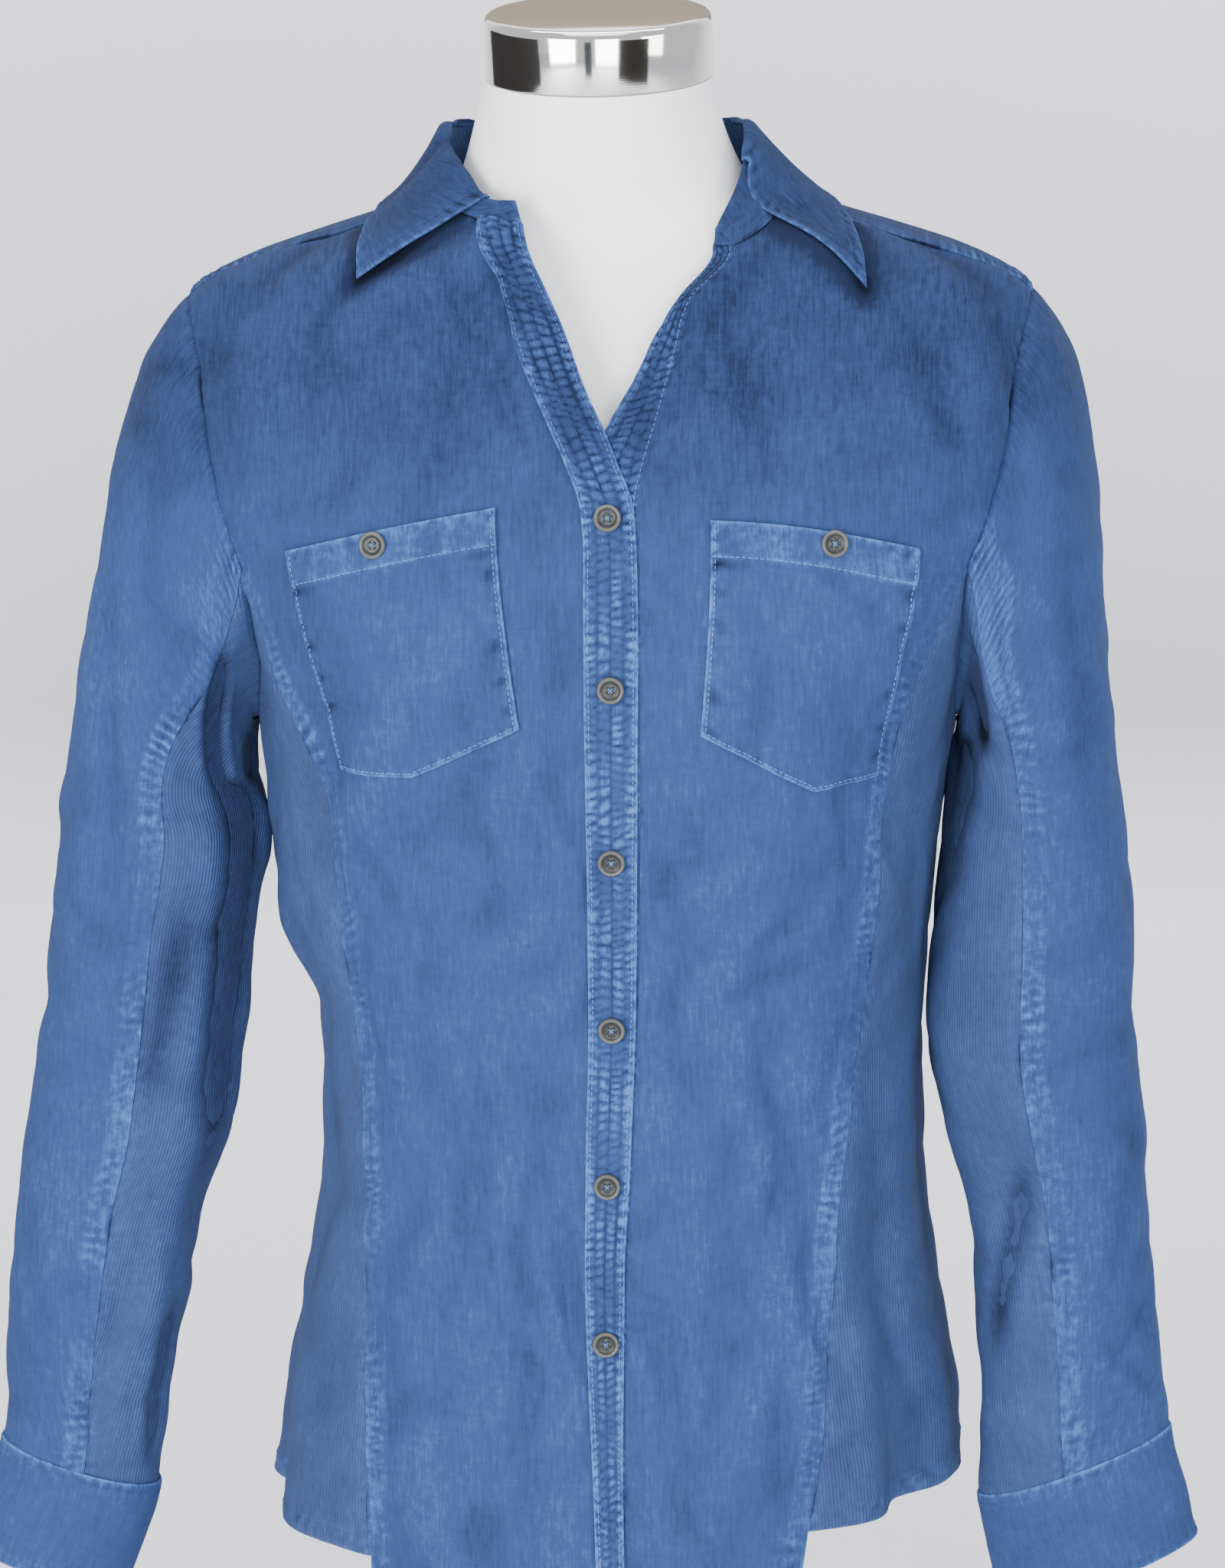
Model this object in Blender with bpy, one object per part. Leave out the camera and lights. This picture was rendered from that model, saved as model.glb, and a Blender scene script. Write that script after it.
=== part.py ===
# A long-sleeved corduroy shirt, buttoned on a limbless display torso that stands on a round base.
# Metres, +Z up. The front faces -Y, and the wearer's left is +X. The origin is the middle of the
# base's underside. Every piece of cloth is a thin closed wall, cut along the real seams.
#
# A place on the body of the shirt is an angle round it, in degrees, 0 at the centre front, 90 at the
# wearer's left side and -90 at the right, and a height. Round an armhole and a sleeve the angle is
# 0 at the outer side, 90 in front, 180 against the body and -90 behind.

import bpy
import numpy as np
from mathutils import Matrix, Vector

LEFT, RIGHT = 1, -1
WALL = 0.0014            # cloth thickness
SEAM_GAP = 0.00034       # between two pieces at a seam
LAYER_GAP = 0.0007       # between a band and what it lies on
POCKET_LIFT = 0.0023     # from the front's inner face to a pocket's
CUFF_LIFT = 0.0018       # from the sleeve's inner face to the cuff's

FRONT_HEM, FRONT_HEM_SIDE = 0.150, 0.160
SIDE_HEM = {LEFT: 0.206, RIGHT: 0.186}
YOKE_BACK_HEIGHT = 0.745
FRONT_APEX, BACK_APEX = 112, -115        # round the armhole, where the sleeve's two seams meet it
YOKE_FRONT, YOKE_BACK = 10, -70          # round the armhole, the ends of the yoke
YOKE_FRONT_AT_NECK = 72                  # round the body, where the front yoke seam meets the neckline
BAND_OVERLAP = 1.6                       # degrees that the right front runs under the upper band
SLEEVE_SEAM_FRONT, SLEEVE_SEAM_BACK = 96, -98
SLEEVE_TOP = 0.562                       # centre height of the first whole ring of the sleeve
SLEEVE_IN_CUFF = 0.008

BUTTON_RADIUS, BUTTON_THICKNESS = 0.0066, 0.0026
BUTTON_HEIGHTS = (0.716, 0.6365, 0.552, 0.466, 0.386, 0.306)

CAP_RADIUS, CAP_HEIGHT, CAP_TILT = 0.0553, 0.031, 5.0
POST_RADIUS = 0.0125
BASE_RADIUS, BASE_HEIGHT = 0.16, 0.012


class Table:
    """Rows of named sizes, read smoothly between the rows by the first column."""

    def __init__(self, names, *rows):
        self.names = names.split()
        self.rows = np.array(sorted(rows), float)

    def __call__(self, name, at):
        places, sizes = self.rows[:, 0], self.rows[:, self.names.index(name)]
        step = np.diff(places)
        slope = np.diff(sizes) / step
        before, after = 2 * step[1:] + step[:-1], step[1:] + 2 * step[:-1]
        turns = slope[1:] * slope[:-1] <= 0
        low, high = np.where(turns, 1, slope[:-1]), np.where(turns, 1, slope[1:])
        middle = np.where(turns, 0, (before + after) / (before / low + after / high))
        tangent = np.concatenate(([slope[0]], middle, [slope[-1]]))
        at = np.clip(at, places[0], places[-1])
        i = np.clip(np.searchsorted(places, at, side="right") - 1, 0, len(places) - 2)
        t = (at - places[i]) / step[i]
        return (
            (1 + 2 * t) * (1 - t) ** 2 * sizes[i] + t * (1 - t) ** 2 * step[i] * tangent[i]
            + t**2 * (3 - 2 * t) * sizes[i + 1] + t**2 * (t - 1) * step[i] * tangent[i + 1]
        )


# The shirt's body: level rings, each a rounded box that is deeper in front than behind.
BODY = Table(
    "height half_width front back square",
    (0.150, 0.1700, 0.1290, 0.1260, 2.3), (0.200, 0.1695, 0.1270, 0.1200, 2.3),
    (0.235, 0.1680, 0.1240, 0.1160, 2.3), (0.275, 0.1630, 0.1205, 0.1110, 2.3),
    (0.320, 0.1560, 0.1180, 0.1050, 2.3), (0.380, 0.1485, 0.1150, 0.0970, 2.3),
    (0.430, 0.1485, 0.1150, 0.0935, 2.3), (0.480, 0.1515, 0.1190, 0.0930, 2.3),
    (0.530, 0.1570, 0.1255, 0.0955, 2.4), (0.580, 0.1640, 0.1315, 0.1000, 2.5),
    (0.630, 0.1740, 0.1345, 0.1045, 2.6), (0.670, 0.1845, 0.1330, 0.1075, 2.8),
    (0.710, 0.1945, 0.1270, 0.1090, 2.9), (0.750, 0.2010, 0.1150, 0.1070, 2.8),
    (0.780, 0.2045, 0.1030, 0.1010, 2.6), (0.797, 0.2060, 0.0955, 0.0965, 2.4),
    (0.806, 0.2040, 0.0915, 0.0930, 2.2), (0.8155, 0.1940, 0.0890, 0.0905, 2.15),
    (0.825, 0.1740, 0.0865, 0.0885, 2.1), (0.8345, 0.1450, 0.0838, 0.0855, 2.1),
    (0.845, 0.1110, 0.0790, 0.0800, 2.05),
    (0.857, 0.0765, 0.0715, 0.0690, 2.0), (0.870, 0.0660, 0.0650, 0.0620, 2.0),
)

# Folds of the body, each a soft ridge, or a valley where it rises less than nothing. The columns are
# its angle, height and rise at its top, the same at its foot, its width in degrees and its fade.
FOLD_COLUMNS = "angle_top top rise_top angle_foot foot rise_foot width fade".split()
BODY_FOLDS = (
    (-89, 0.600, 0.0085, -89, 0.495, 0.0165, 24, 0.045),
    (90, 0.560, 0.0006, 90, 0.400, 0.0020, 25, 0.050),
    (-92, 0.370, 0.0010, -92, 0.150, 0.0048, 30, 0.050),
    (90, 0.370, 0.0000, 90, 0.150, -0.0030, 30, 0.050),
    (3, 0.330, -0.0010, 4, 0.150, -0.0100, 10, 0.050),
    (-12, 0.400, -0.0020, -14, 0.200, -0.0040, 6, 0.060),
    (22, 0.330, 0.0010, 20, 0.150, 0.0055, 11, 0.060),
    (-98, 0.300, 0.0010, -100, 0.181, 0.0150, 12, 0.030),
    (-85, 0.300, 0.0000, -88, 0.181, -0.0130, 7, 0.030),
    (-70, 0.320, 0.0010, -71, 0.181, 0.0070, 11, 0.030),
    (90, 0.300, 0.0000, 92, 0.198, 0.0020, 12, 0.030),
    (64, 0.360, -0.0020, 65, 0.198, -0.0145, 7, 0.030),
    (53, 0.330, 0.0000, 54, 0.198, 0.0040, 8, 0.030),
    (112, 0.330, 0.0000, 113, 0.198, -0.0080, 8, 0.030),
    (-113, 0.330, 0.0000, -114, 0.181, -0.0070, 8, 0.030),
    (-30, 0.822, -0.0050, -19, 0.740, -0.0020, 5, 0.030),
    (-47, 0.640, -0.0020, -60, 0.560, -0.0045, 7, 0.040),
    (48, 0.640, -0.0020, 60, 0.560, -0.0040, 7, 0.040),
    (150, 0.700, 0.0000, 158, 0.480, -0.0050, 9, 0.080),
    (-150, 0.700, 0.0000, -158, 0.480, -0.0050, 9, 0.080),
    (180, 0.420, 0.0000, 180, 0.150, 0.0060, 16, 0.060),
)

# Front princess seams and back side seams, as angles round the body.
SEAMS = Table(
    "height front_left front_right back",
    (0.150, 37.0, 50.0, 128), (0.200, 40.3, 51.6, 127), (0.250, 44.4, 53.0, 125),
    (0.300, 47.4, 55.0, 123), (0.360, 51.3, 57.6, 120), (0.420, 55.4, 59.2, 118),
    (0.480, 58.2, 58.8, 117), (0.530, 57.8, 57.2, 117), (0.565, 57.2, 57.4, 117),
    (0.600, 57.6, 59.5, 116), (0.630, 59.2, 62.8, 114), (0.660, 62.6, 65.2, 111),
    (0.6825, 67.0, 67.0, 109),
)

# One armhole, by the angle round it: the angle round the body, and the height.
ARMHOLE = Table(
    "round angle height",
    (-181, 91.5, 0.5920), (-160, 99.5, 0.6020), (-135, 106.5, 0.6450), (-115, 109.0, 0.6825),
    (-90, 109.5, 0.7150), (-70, 108.0, 0.7450), (-40, 103.5, 0.7790), (-15, 97.0, 0.8000),
    (0, 90.5, 0.8065), (10, 86.8, 0.8050), (30, 80.2, 0.7890), (50, 76.8, 0.7650),
    (70, 74.4, 0.7400), (88, 71.7, 0.7180), (102, 69.0, 0.7020), (112, 67.0, 0.6825),
    (135, 72.5, 0.6400), (160, 82.0, 0.6020), (181, 91.5, 0.5920),
)

# Which way the sleeve's cloth leaves the armhole, and how strongly.
SLEEVE_HEAD = Table(
    "round out forward up pull",
    (-181, 0.60, 0.00, 0.80, 1.10), (-140, 0.90, -0.30, -0.35, 0.60), (-115, 0.45, -0.25, -0.85, 0.45),
    (-90, 0.58, -0.30, -0.76, 0.57), (-45, 0.74, -0.22, -0.62, 0.62), (0, 0.80, 0.00, -0.60, 0.62),
    (45, 0.74, 0.22, -0.62, 0.62), (90, 0.58, 0.30, -0.76, 0.57), (112, 0.45, 0.25, -0.85, 0.45),
    (140, 0.90, 0.30, -0.35, 0.60), (181, 0.60, 0.00, 0.80, 1.10),
)

# Rings down each sleeve, by the height of their centres. Lean lifts a ring's outer side, in degrees.
SLEEVE = {
    LEFT: Table(
        "height out forward half_width half_depth lean",
        (0.562, 0.2069, 0.004, 0.0410, 0.0560, 0), (0.530, 0.2074, 0.006, 0.0450, 0.0550, 0),
        (0.480, 0.2068, 0.009, 0.0492, 0.0520, 0), (0.440, 0.2060, 0.012, 0.0510, 0.0490, 0),
        (0.396, 0.2114, 0.015, 0.0492, 0.0455, 2), (0.346, 0.2200, 0.018, 0.0442, 0.0415, 5),
        (0.300, 0.2232, 0.021, 0.0445, 0.0380, 9), (0.260, 0.2256, 0.023, 0.0456, 0.0330, 15),
        (0.2145, 0.2280, 0.025, 0.0490, 0.0225, 22), (0.155, 0.2410, 0.027, 0.0508, 0.0205, 22.6),
    ),
    RIGHT: Table(
        "height out forward half_width half_depth lean",
        (0.562, 0.2285, 0.004, 0.0471, 0.0560, 0), (0.545, 0.2273, 0.005, 0.0512, 0.0555, 0),
        (0.526, 0.2290, 0.006, 0.0518, 0.0545, 0), (0.497, 0.2337, 0.008, 0.0499, 0.0530, 0),
        (0.456, 0.2390, 0.011, 0.0505, 0.0500, 0), (0.420, 0.2443, 0.013, 0.0502, 0.0475, 1),
        (0.394, 0.2483, 0.015, 0.0503, 0.0455, 2), (0.348, 0.2592, 0.018, 0.0460, 0.0415, 4),
        (0.300, 0.2672, 0.021, 0.0435, 0.0375, 8), (0.255, 0.2745, 0.023, 0.0412, 0.0320, 13),
        (0.2105, 0.2790, 0.025, 0.0396, 0.0225, 18), (0.153, 0.3000, 0.027, 0.0405, 0.0205, 20),
    ),
}
SLEEVE_FOOT = {LEFT: 0.155, RIGHT: 0.153}
CUFF_TOP = {LEFT: 0.2145, RIGHT: 0.2105}

# Folds of the sleeves, in the body folds' columns, with angles round the sleeve.
SLEEVE_FOLDS = {
    LEFT: (
        (120, 0.400, -0.0010, 100, 0.270, -0.0050, 14, 0.030),
        (20, 0.300, -0.0020, 60, 0.262, -0.0040, 12, 0.020),
        (40, 0.276, 0.0020, 80, 0.240, 0.0035, 14, 0.020),
        (150, 0.700, -0.0010, 140, 0.580, -0.0040, 16, 0.040),
        (-60, 0.470, -0.0010, -120, 0.400, -0.0050, 16, 0.030),
        (0, 0.450, -0.0020, -30, 0.420, -0.0030, 12, 0.030),
    ),
    RIGHT: (
        (60, 0.700, -0.0020, 64, 0.540, -0.0045, 12, 0.060),
        (118, 0.330, -0.0010, 100, 0.240, -0.0065, 12, 0.030),
        (140, 0.380, 0.0010, 130, 0.300, 0.0035, 14, 0.030),
        (-60, 0.470, -0.0010, -120, 0.400, -0.0050, 16, 0.030),
        (10, 0.450, -0.0010, -30, 0.420, -0.0030, 12, 0.030),
    ),
}

# Edges of the two bands: angles round the body, by height. Sink is how far the under band's free
# edge turns in towards the neck.
BANDS = Table(
    "height upper_seam upper_free under_seam under_free sink",
    (0.150, -3.8, 2.6, 3.2, -1.4, 0), (0.224, -4.4, 2.6, 3.2, -2.0, 0),
    (0.300, -5.4, 3.4, 4.0, -3.0, 0), (0.343, -5.6, 3.9, 4.5, -3.2, 0),
    (0.400, -5.0, 5.7, 6.3, -2.6, 0), (0.482, -3.6, 7.4, 8.0, -1.2, 0),
    (0.600, -2.7, 8.0, 8.6, -0.3, 0), (0.700, -2.5, 8.6, 9.2, -0.1, 0),
    (0.720, -3.3, 8.3, 9.2, -0.7, 0), (0.741, -7.1, 5.0, 11.6, -1.2, 0),
    (0.7554, -10.8, 2.1, 14.3, 2.1, 0), (0.774, -16.0, -2.8, 18.0, 8.5, 0.001),
    (0.793, -21.7, -7.4, 22.2, 16.4, 0.005), (0.8125, -27.3, -13.3, 26.9, 26.4, 0.011),
    (0.8372, -36.6, -22.0, 40.5, 39.5, 0.013), (0.8493, -42.0, -26.3, 40.5, 39.5, 0.013),
)

FALL_OFF_SHIRT = 0.0029   # least distance of the collar fall from the inner face it lies over
# The collar, by the angle round it from the centre back, positive to the wearer's right. Height is
# the neckline's on the body. The stand rises from there to the roll, and the fall turns over the
# roll and hangs to its edge. Dip is how far the fall's middle hangs inside a straight line.
COLLAR = Table(
    "round height roll_x roll_y roll_z edge_x edge_y edge_z dip",
    (-140.5, 0.8366, 0.0550, -0.0625, 0.8408, 0.1258, -0.0700, 0.8155, 0.006),
    (-139.5, 0.8372, 0.0565, -0.0600, 0.8450, 0.1258, -0.0700, 0.8155, 0.006),
    (-125, 0.8455, 0.0640, -0.0430, 0.8620, 0.1258, -0.0700, 0.8155, 0.006),
    (-115.9, 0.8498, 0.0668, -0.0320, 0.8720, 0.1258, -0.0700, 0.8155, 0.006),
    (-105, 0.8535, 0.0675, -0.0190, 0.8800, 0.1200, -0.0400, 0.8385, 0.001),
    (-90, 0.8570, 0.0665, -0.0030, 0.8855, 0.1110, -0.0040, 0.8490, 0.002),
    (-60, 0.8610, 0.0570, 0.0300, 0.8835, 0.0905, 0.0430, 0.8510, 0.002),
    (-30, 0.8640, 0.0335, 0.0550, 0.8815, 0.0500, 0.0745, 0.8500, 0.002),
    (0, 0.8650, -0.0040, 0.0630, 0.8810, -0.0030, 0.0855, 0.8480, 0.002),
    (30, 0.8640, -0.0410, 0.0540, 0.8815, -0.0560, 0.0745, 0.8500, 0.002),
    (60, 0.8610, -0.0650, 0.0300, 0.8835, -0.0925, 0.0430, 0.8510, 0.002),
    (90, 0.8570, -0.0765, -0.0030, 0.8860, -0.1110, -0.0040, 0.8490, 0.003),
    (108, 0.8540, -0.0745, -0.0240, 0.8775, -0.1150, -0.0350, 0.8405, 0.002),
    (125, 0.8515, -0.0660, -0.0420, 0.8690, -0.1150, -0.0580, 0.8290, 0.001),
    (140, 0.8490, -0.0540, -0.0560, 0.8580, -0.1158, -0.0705, 0.8215, 0.000),
    (147, 0.8480, -0.0480, -0.0610, 0.8575, -0.1158, -0.0705, 0.8215, 0.000),
    (153.7, 0.8471, -0.0400, -0.0650, 0.8585, -0.1158, -0.0705, 0.8215, 0.000),
)
FALL_ENDS = (-116, 141)
FALL_KNEE = (-0.0035, -0.0075, -0.0020)   # how far the fall's left front edge bends forward beside the roll
STAND_CORNER = -139.5      # beyond it the stand's end turns in over the under band's
ROLL_RISE, ROLL_OUT = 0.0022, 0.0038

# A pocket's outline from its upper inner corner: angles round the body and heights, by side. Arch is
# how far the middle of its top stands above a straight line.
POCKET = {
    LEFT: dict(inner_top=(23.4, 0.7150), outer_top=(55.6, 0.6978), inner_foot=(20.1, 0.6139),
               outer_foot=(54.6, 0.5856), point=(41.0, 0.5828), arch=0.0040),
    RIGHT: dict(inner_top=(20.9, 0.7207), outer_top=(55.3, 0.6971), inner_foot=(15.4, 0.6172),
                outer_foot=(52.3, 0.5890), point=(36.4, 0.5909), arch=0.0028),
}
POCKET_BUTTON = {LEFT: (43.0, 0.7029), RIGHT: (40.9, 0.7030)}

# The display torso: rings with their own centres. Lean tips a ring forwards, in degrees.
FORM = Table(
    "height centre_x centre_y half_width front back square lean",
    (0.205, 0, 0, 0.1180, 0.0900, 0.0860, 2.1, 0), (0.213, 0, 0, 0.1430, 0.1080, 0.1010, 2.2, 0),
    (0.235, 0, 0, 0.1555, 0.1150, 0.1070, 2.3, 0), (0.275, 0, 0, 0.1540, 0.1125, 0.1030, 2.3, 0),
    (0.330, 0, 0, 0.1470, 0.1090, 0.0960, 2.3, 0), (0.400, 0, 0, 0.1415, 0.1080, 0.0885, 2.3, 0),
    (0.460, 0, 0, 0.1425, 0.1100, 0.0860, 2.3, 0), (0.530, 0, 0, 0.1490, 0.1180, 0.0880, 2.4, 0),
    (0.590, 0, 0, 0.1580, 0.1245, 0.0930, 2.5, 0), (0.650, 0, 0, 0.1690, 0.1255, 0.0980, 2.6, 0),
    (0.700, 0, 0, 0.1790, 0.1165, 0.1010, 2.7, 0), (0.740, 0, 0, 0.1860, 0.1010, 0.0995, 2.7, 0),
    (0.770, 0, 0, 0.1895, 0.0860, 0.0950, 2.6, 0), (0.795, 0, 0, 0.1905, 0.0750, 0.0890, 2.4, 0),
    (0.806, 0, 0, 0.1895, 0.0700, 0.0850, 2.2, 0), (0.8155, 0, 0, 0.1840, 0.0665, 0.0820, 2.1, 0),
    (0.8235, 0, 0, 0.1710, 0.0640, 0.0790, 2.0, 0), (0.833, 0, 0, 0.1440, 0.0610, 0.0750, 2.0, 0),
    (0.8435, 0, 0, 0.1100, 0.0590, 0.0680, 2.0, 0),
    (0.857, -0.001, -0.002, 0.0735, 0.0590, 0.0590, 2.0, 0),
    (0.868, -0.003, -0.004, 0.0675, 0.0590, 0.0560, 2.0, 1),
    (0.894, -0.004, -0.009, 0.0588, 0.0565, 0.0560, 2.0, 3),
    (0.912, -0.003, -0.012, 0.0550, 0.0550, 0.0550, 2.0, 5),
)
FORM_RINGS = (0.205, 0.208, 0.213, 0.235, 0.275, 0.330, 0.400, 0.460, 0.530, 0.590, 0.650, 0.700, 0.740,
              0.770, 0.795, 0.806, 0.8155, 0.8235, 0.833, 0.8385, 0.8435, 0.850, 0.857, 0.868, 0.880,
              0.894, 0.912)

FINISHES = {  # colour, roughness, metallic
    "pincord": ((0.082, 0.168, 0.392), 0.85, 0.0),
    "rib_knit": ((0.070, 0.135, 0.300), 0.88, 0.0),
    "button_grey": ((0.110, 0.125, 0.140), 0.42, 0.0),
    "white_skin": ((0.800, 0.815, 0.830), 0.45, 0.0),
    "chrome": ((0.640, 0.620, 0.590), 0.16, 1.0),
}


def material(name):
    """The finish of that name, made the first time it is asked for."""
    made = bpy.data.materials.get(name)
    if made:
        return made
    colour, roughness, metallic = FINISHES[name]
    made = bpy.data.materials.new(name)
    made.use_nodes = True
    shader = made.node_tree.nodes["Principled BSDF"]
    shader.inputs["Base Color"].default_value = (*colour, 1)
    shader.inputs["Roughness"].default_value = roughness
    shader.inputs["Metallic"].default_value = metallic
    return made


def add_solid(name, points, faces, finish):
    mesh = bpy.data.meshes.new(name)
    mesh.from_pydata([tuple(p) for p in points], [], faces)
    mesh.shade_smooth()
    mesh.set_sharp_from_angle(angle=0.7)
    mesh.materials.append(material(finish))
    made = bpy.data.objects.new(name, mesh)
    bpy.context.scene.collection.objects.link(made)
    return made


def unit(vectors):
    return vectors / np.linalg.norm(vectors, axis=-1, keepdims=True)


def ease(t):
    t = np.clip(t, 0, 1)
    return t * t * (3 - 2 * t)


def fold_rise(folds, across, height):
    """The rise of all folds at an angle and a height: each is a bell across, eased at its ends."""
    total = 0 * across * height
    for row in folds:
        fold = dict(zip(FOLD_COLUMNS, row))
        down = np.clip((fold["top"] - height) / (fold["top"] - fold["foot"]), 0, 1)
        middle = fold["angle_top"] + down * (fold["angle_foot"] - fold["angle_top"])
        rise = fold["rise_top"] + down * (fold["rise_foot"] - fold["rise_top"])
        ends = ease(1 + (fold["top"] - height) / fold["fade"]) * ease(1 + (height - fold["foot"]) / fold["fade"])
        away = (across - middle + 180) % 360 - 180
        total = total + rise * ends * np.exp(-((away / fold["width"]) ** 2))
    return total


def ring_radius(table, turn, height):
    """The radius of a rounded box: its side and depth shares, to the power square, add up to 1."""
    depth = np.where(np.cos(turn) > 0, table("front", height), table("back", height))
    square = table("square", height)
    shares = (np.abs(np.sin(turn)) / table("half_width", height)) ** square
    shares = shares + (np.abs(np.cos(turn)) / depth) ** square
    return shares ** (-1 / square)


def on_body(angle, height):
    angle, height = np.broadcast_arrays(np.asarray(angle, float), np.asarray(height, float))
    turn = np.radians(angle)
    radius = ring_radius(BODY, turn, height) + fold_rise(BODY_FOLDS, angle, height)
    return np.stack((radius * np.sin(turn), -radius * np.cos(turn), height), -1)


def normal_of(surface, u, v, step_u, step_v):
    """The unit normal of a surface, from small steps along its two parameters."""
    along_u = surface(u + step_u, v) - surface(u - step_u, v)
    along_v = surface(u, v + step_v) - surface(u, v - step_v)
    return unit(np.cross(along_u, along_v))


def body_normal(angle, height):
    return normal_of(on_body, np.asarray(angle, float), np.asarray(height, float), 0.4, 0.0008)


def ring_place(side, around, height):
    """A point of a sleeve's ring: an ellipse with folds, tipped by its lean."""
    size = SLEEVE[side]
    turn, lean = np.radians(around), np.radians(size("lean", height))
    grow = fold_rise(SLEEVE_FOLDS[side], around, height)
    across = (size("half_width", height) + grow) * np.cos(turn)
    out = size("out", height) + across * np.cos(lean)
    forward = size("forward", height) + (size("half_depth", height) + grow) * np.sin(turn)
    return np.stack((side * out, -forward, height + across * np.sin(lean)), -1)


def on_sleeve(side):
    """A sleeve's surface. Along is 0 at the armhole, 1 at the first ring and 2 at the cuff's foot. From
    0 to 1 a Hermite curve leaves the armhole as the sleeve head says and ends along the sleeve."""

    def surface(around, along):
        around, along = np.broadcast_arrays(np.asarray(around, float), np.asarray(along, float))
        around = (around + 180) % 360 - 180
        drop = SLEEVE_TOP - SLEEVE_FOOT[side]
        down = SLEEVE_TOP - np.clip(along - 1, 0, 1.05) * drop
        ring = ring_place(side, around, down)
        start = on_body(side * ARMHOLE("angle", around), ARMHOLE("height", around))
        top = ring_place(side, around, np.full_like(down, SLEEVE_TOP))
        reach = np.linalg.norm(top - start, axis=-1, keepdims=True)
        head = np.stack([SLEEVE_HEAD(name, around) for name in ("out", "forward", "up")], -1)
        leave = unit(head) * (side, -1, 1) * reach * SLEEVE_HEAD("pull", around)[..., None]
        below = ring_place(side, around, np.full_like(down, SLEEVE_TOP - 0.01))
        arrive = unit(below - top) * reach
        t = np.clip(along, 0, 1)[..., None]
        cap = (
            (1 + 2 * t) * (1 - t) ** 2 * start + t * (1 - t) ** 2 * leave
            + t**2 * (3 - 2 * t) * top + t**2 * (t - 1) * arrive
        )
        return np.where(along[..., None] < 1, cap, ring)

    return surface


def sleeve_normal(side, around, along):
    normal = normal_of(on_sleeve(side), np.asarray(around, float), np.maximum(along, 0.004), 0.5, 0.003)
    return side * normal


def collar_place(stem, around):
    return np.stack([COLLAR(stem + end, around) for end in ("_x", "_y", "_z")], -1)


def neckline(around):
    """The line where the collar meets the shirt's body, by the angle from the centre back."""
    place = on_body(180 + np.asarray(around, float), COLLAR("height", around))
    turned_in = np.clip(STAND_CORNER - np.asarray(around, float), 0, 1) * BANDS("sink", 0.8372)
    return place - unit(place * (1, 1, 0)) * turned_in[..., None]


def on_stand(around, up):
    """The collar stand: straight lines from the neckline to the roll."""
    around, up = np.broadcast_arrays(np.asarray(around, float), np.asarray(up, float))
    foot, roll = neckline(around), collar_place("roll", around)
    return foot + (roll - foot) * up[..., None]


def stand_normal(around, up):
    return normal_of(on_stand, np.maximum(around, STAND_CORNER + 0.5), np.asarray(up, float), 0.4, 0.02)


def on_fall(around, down):
    """The collar fall's underside: a parabola from beside the roll to the edge, bent by the dip."""
    around, down = np.broadcast_arrays(np.asarray(around, float), np.asarray(down, float))
    roll, edge = collar_place("roll", around), collar_place("edge", around)
    away = unit((edge - roll) * (1, 1, 0))
    start = roll + away * ROLL_OUT + np.array((0, 0, ROLL_RISE * 0.4))
    chord = unit(edge - start)
    inside = unit(np.array((0, 0, -1.0)) + chord * chord[..., 2:3])
    middle = (start + edge) / 2 + inside * 2 * COLLAR("dip", around)[..., None]
    t = down[..., None]
    bend = ease((-around - 104) / 12)[..., None] * t * (1 - t) ** 3 / 0.105
    return (1 - t) ** 2 * start + 2 * t * (1 - t) * middle + t**2 * edge + bend * FALL_KNEE


def kept_off(points, least):
    """The points, moved out where they come nearer than that to the inner face of the shirt's body."""
    angle = np.degrees(np.arctan2(points[..., 0], -points[..., 1]))
    normal = body_normal(angle, points[..., 2])
    beyond = (points - on_body(angle, points[..., 2])) * (1, 1, 0)
    short = least - np.sum(beyond * normal, axis=-1, keepdims=True)
    return points + normal * (short + np.sqrt(short**2 + 0.0008**2)) / 2


def mitre(first, second):
    """One direction for the thickness of two pieces that meet at an angle."""
    return unit(first + second)


def armhole_direction(side, around):
    around = np.asarray(around, float)
    body = body_normal(side * ARMHOLE("angle", around), ARMHOLE("height", around))
    return mitre(body, sleeve_normal(side, around, np.full_like(around, 0.004)))


def neck_direction(around):
    around = np.asarray(around, float)
    return mitre(body_normal(180 + around, COLLAR("height", around)), stand_normal(around, np.full_like(around, 0.03)))


def inward(edge, beside):
    """Directions square to an edge, towards the row of points beside it."""
    along = unit(np.gradient(edge, axis=0))
    away = beside - edge
    return unit(away - along * np.sum(away * along, axis=-1, keepdims=True))


def drawn_in(points, by):
    """The points with each edge row moved into the piece."""
    moved = points.copy()
    rows = {end: inward(points[end], points[beside]) for end, beside in ((0, 1), (-1, -2))}
    columns = {end: inward(points[:, end], points[:, beside]) for end, beside in ((0, 1), (-1, -2))}
    for end in (0, -1):
        moved[end, 1:-1] += rows[end][1:-1] * by
        moved[1:-1, end] += columns[end][1:-1] * by
        for other in (0, -1):
            a, b = rows[end][other], columns[other][end]
            moved[end, other] += (a + b) * by / max(1 + a @ b, 0.1)
    return moved


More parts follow.
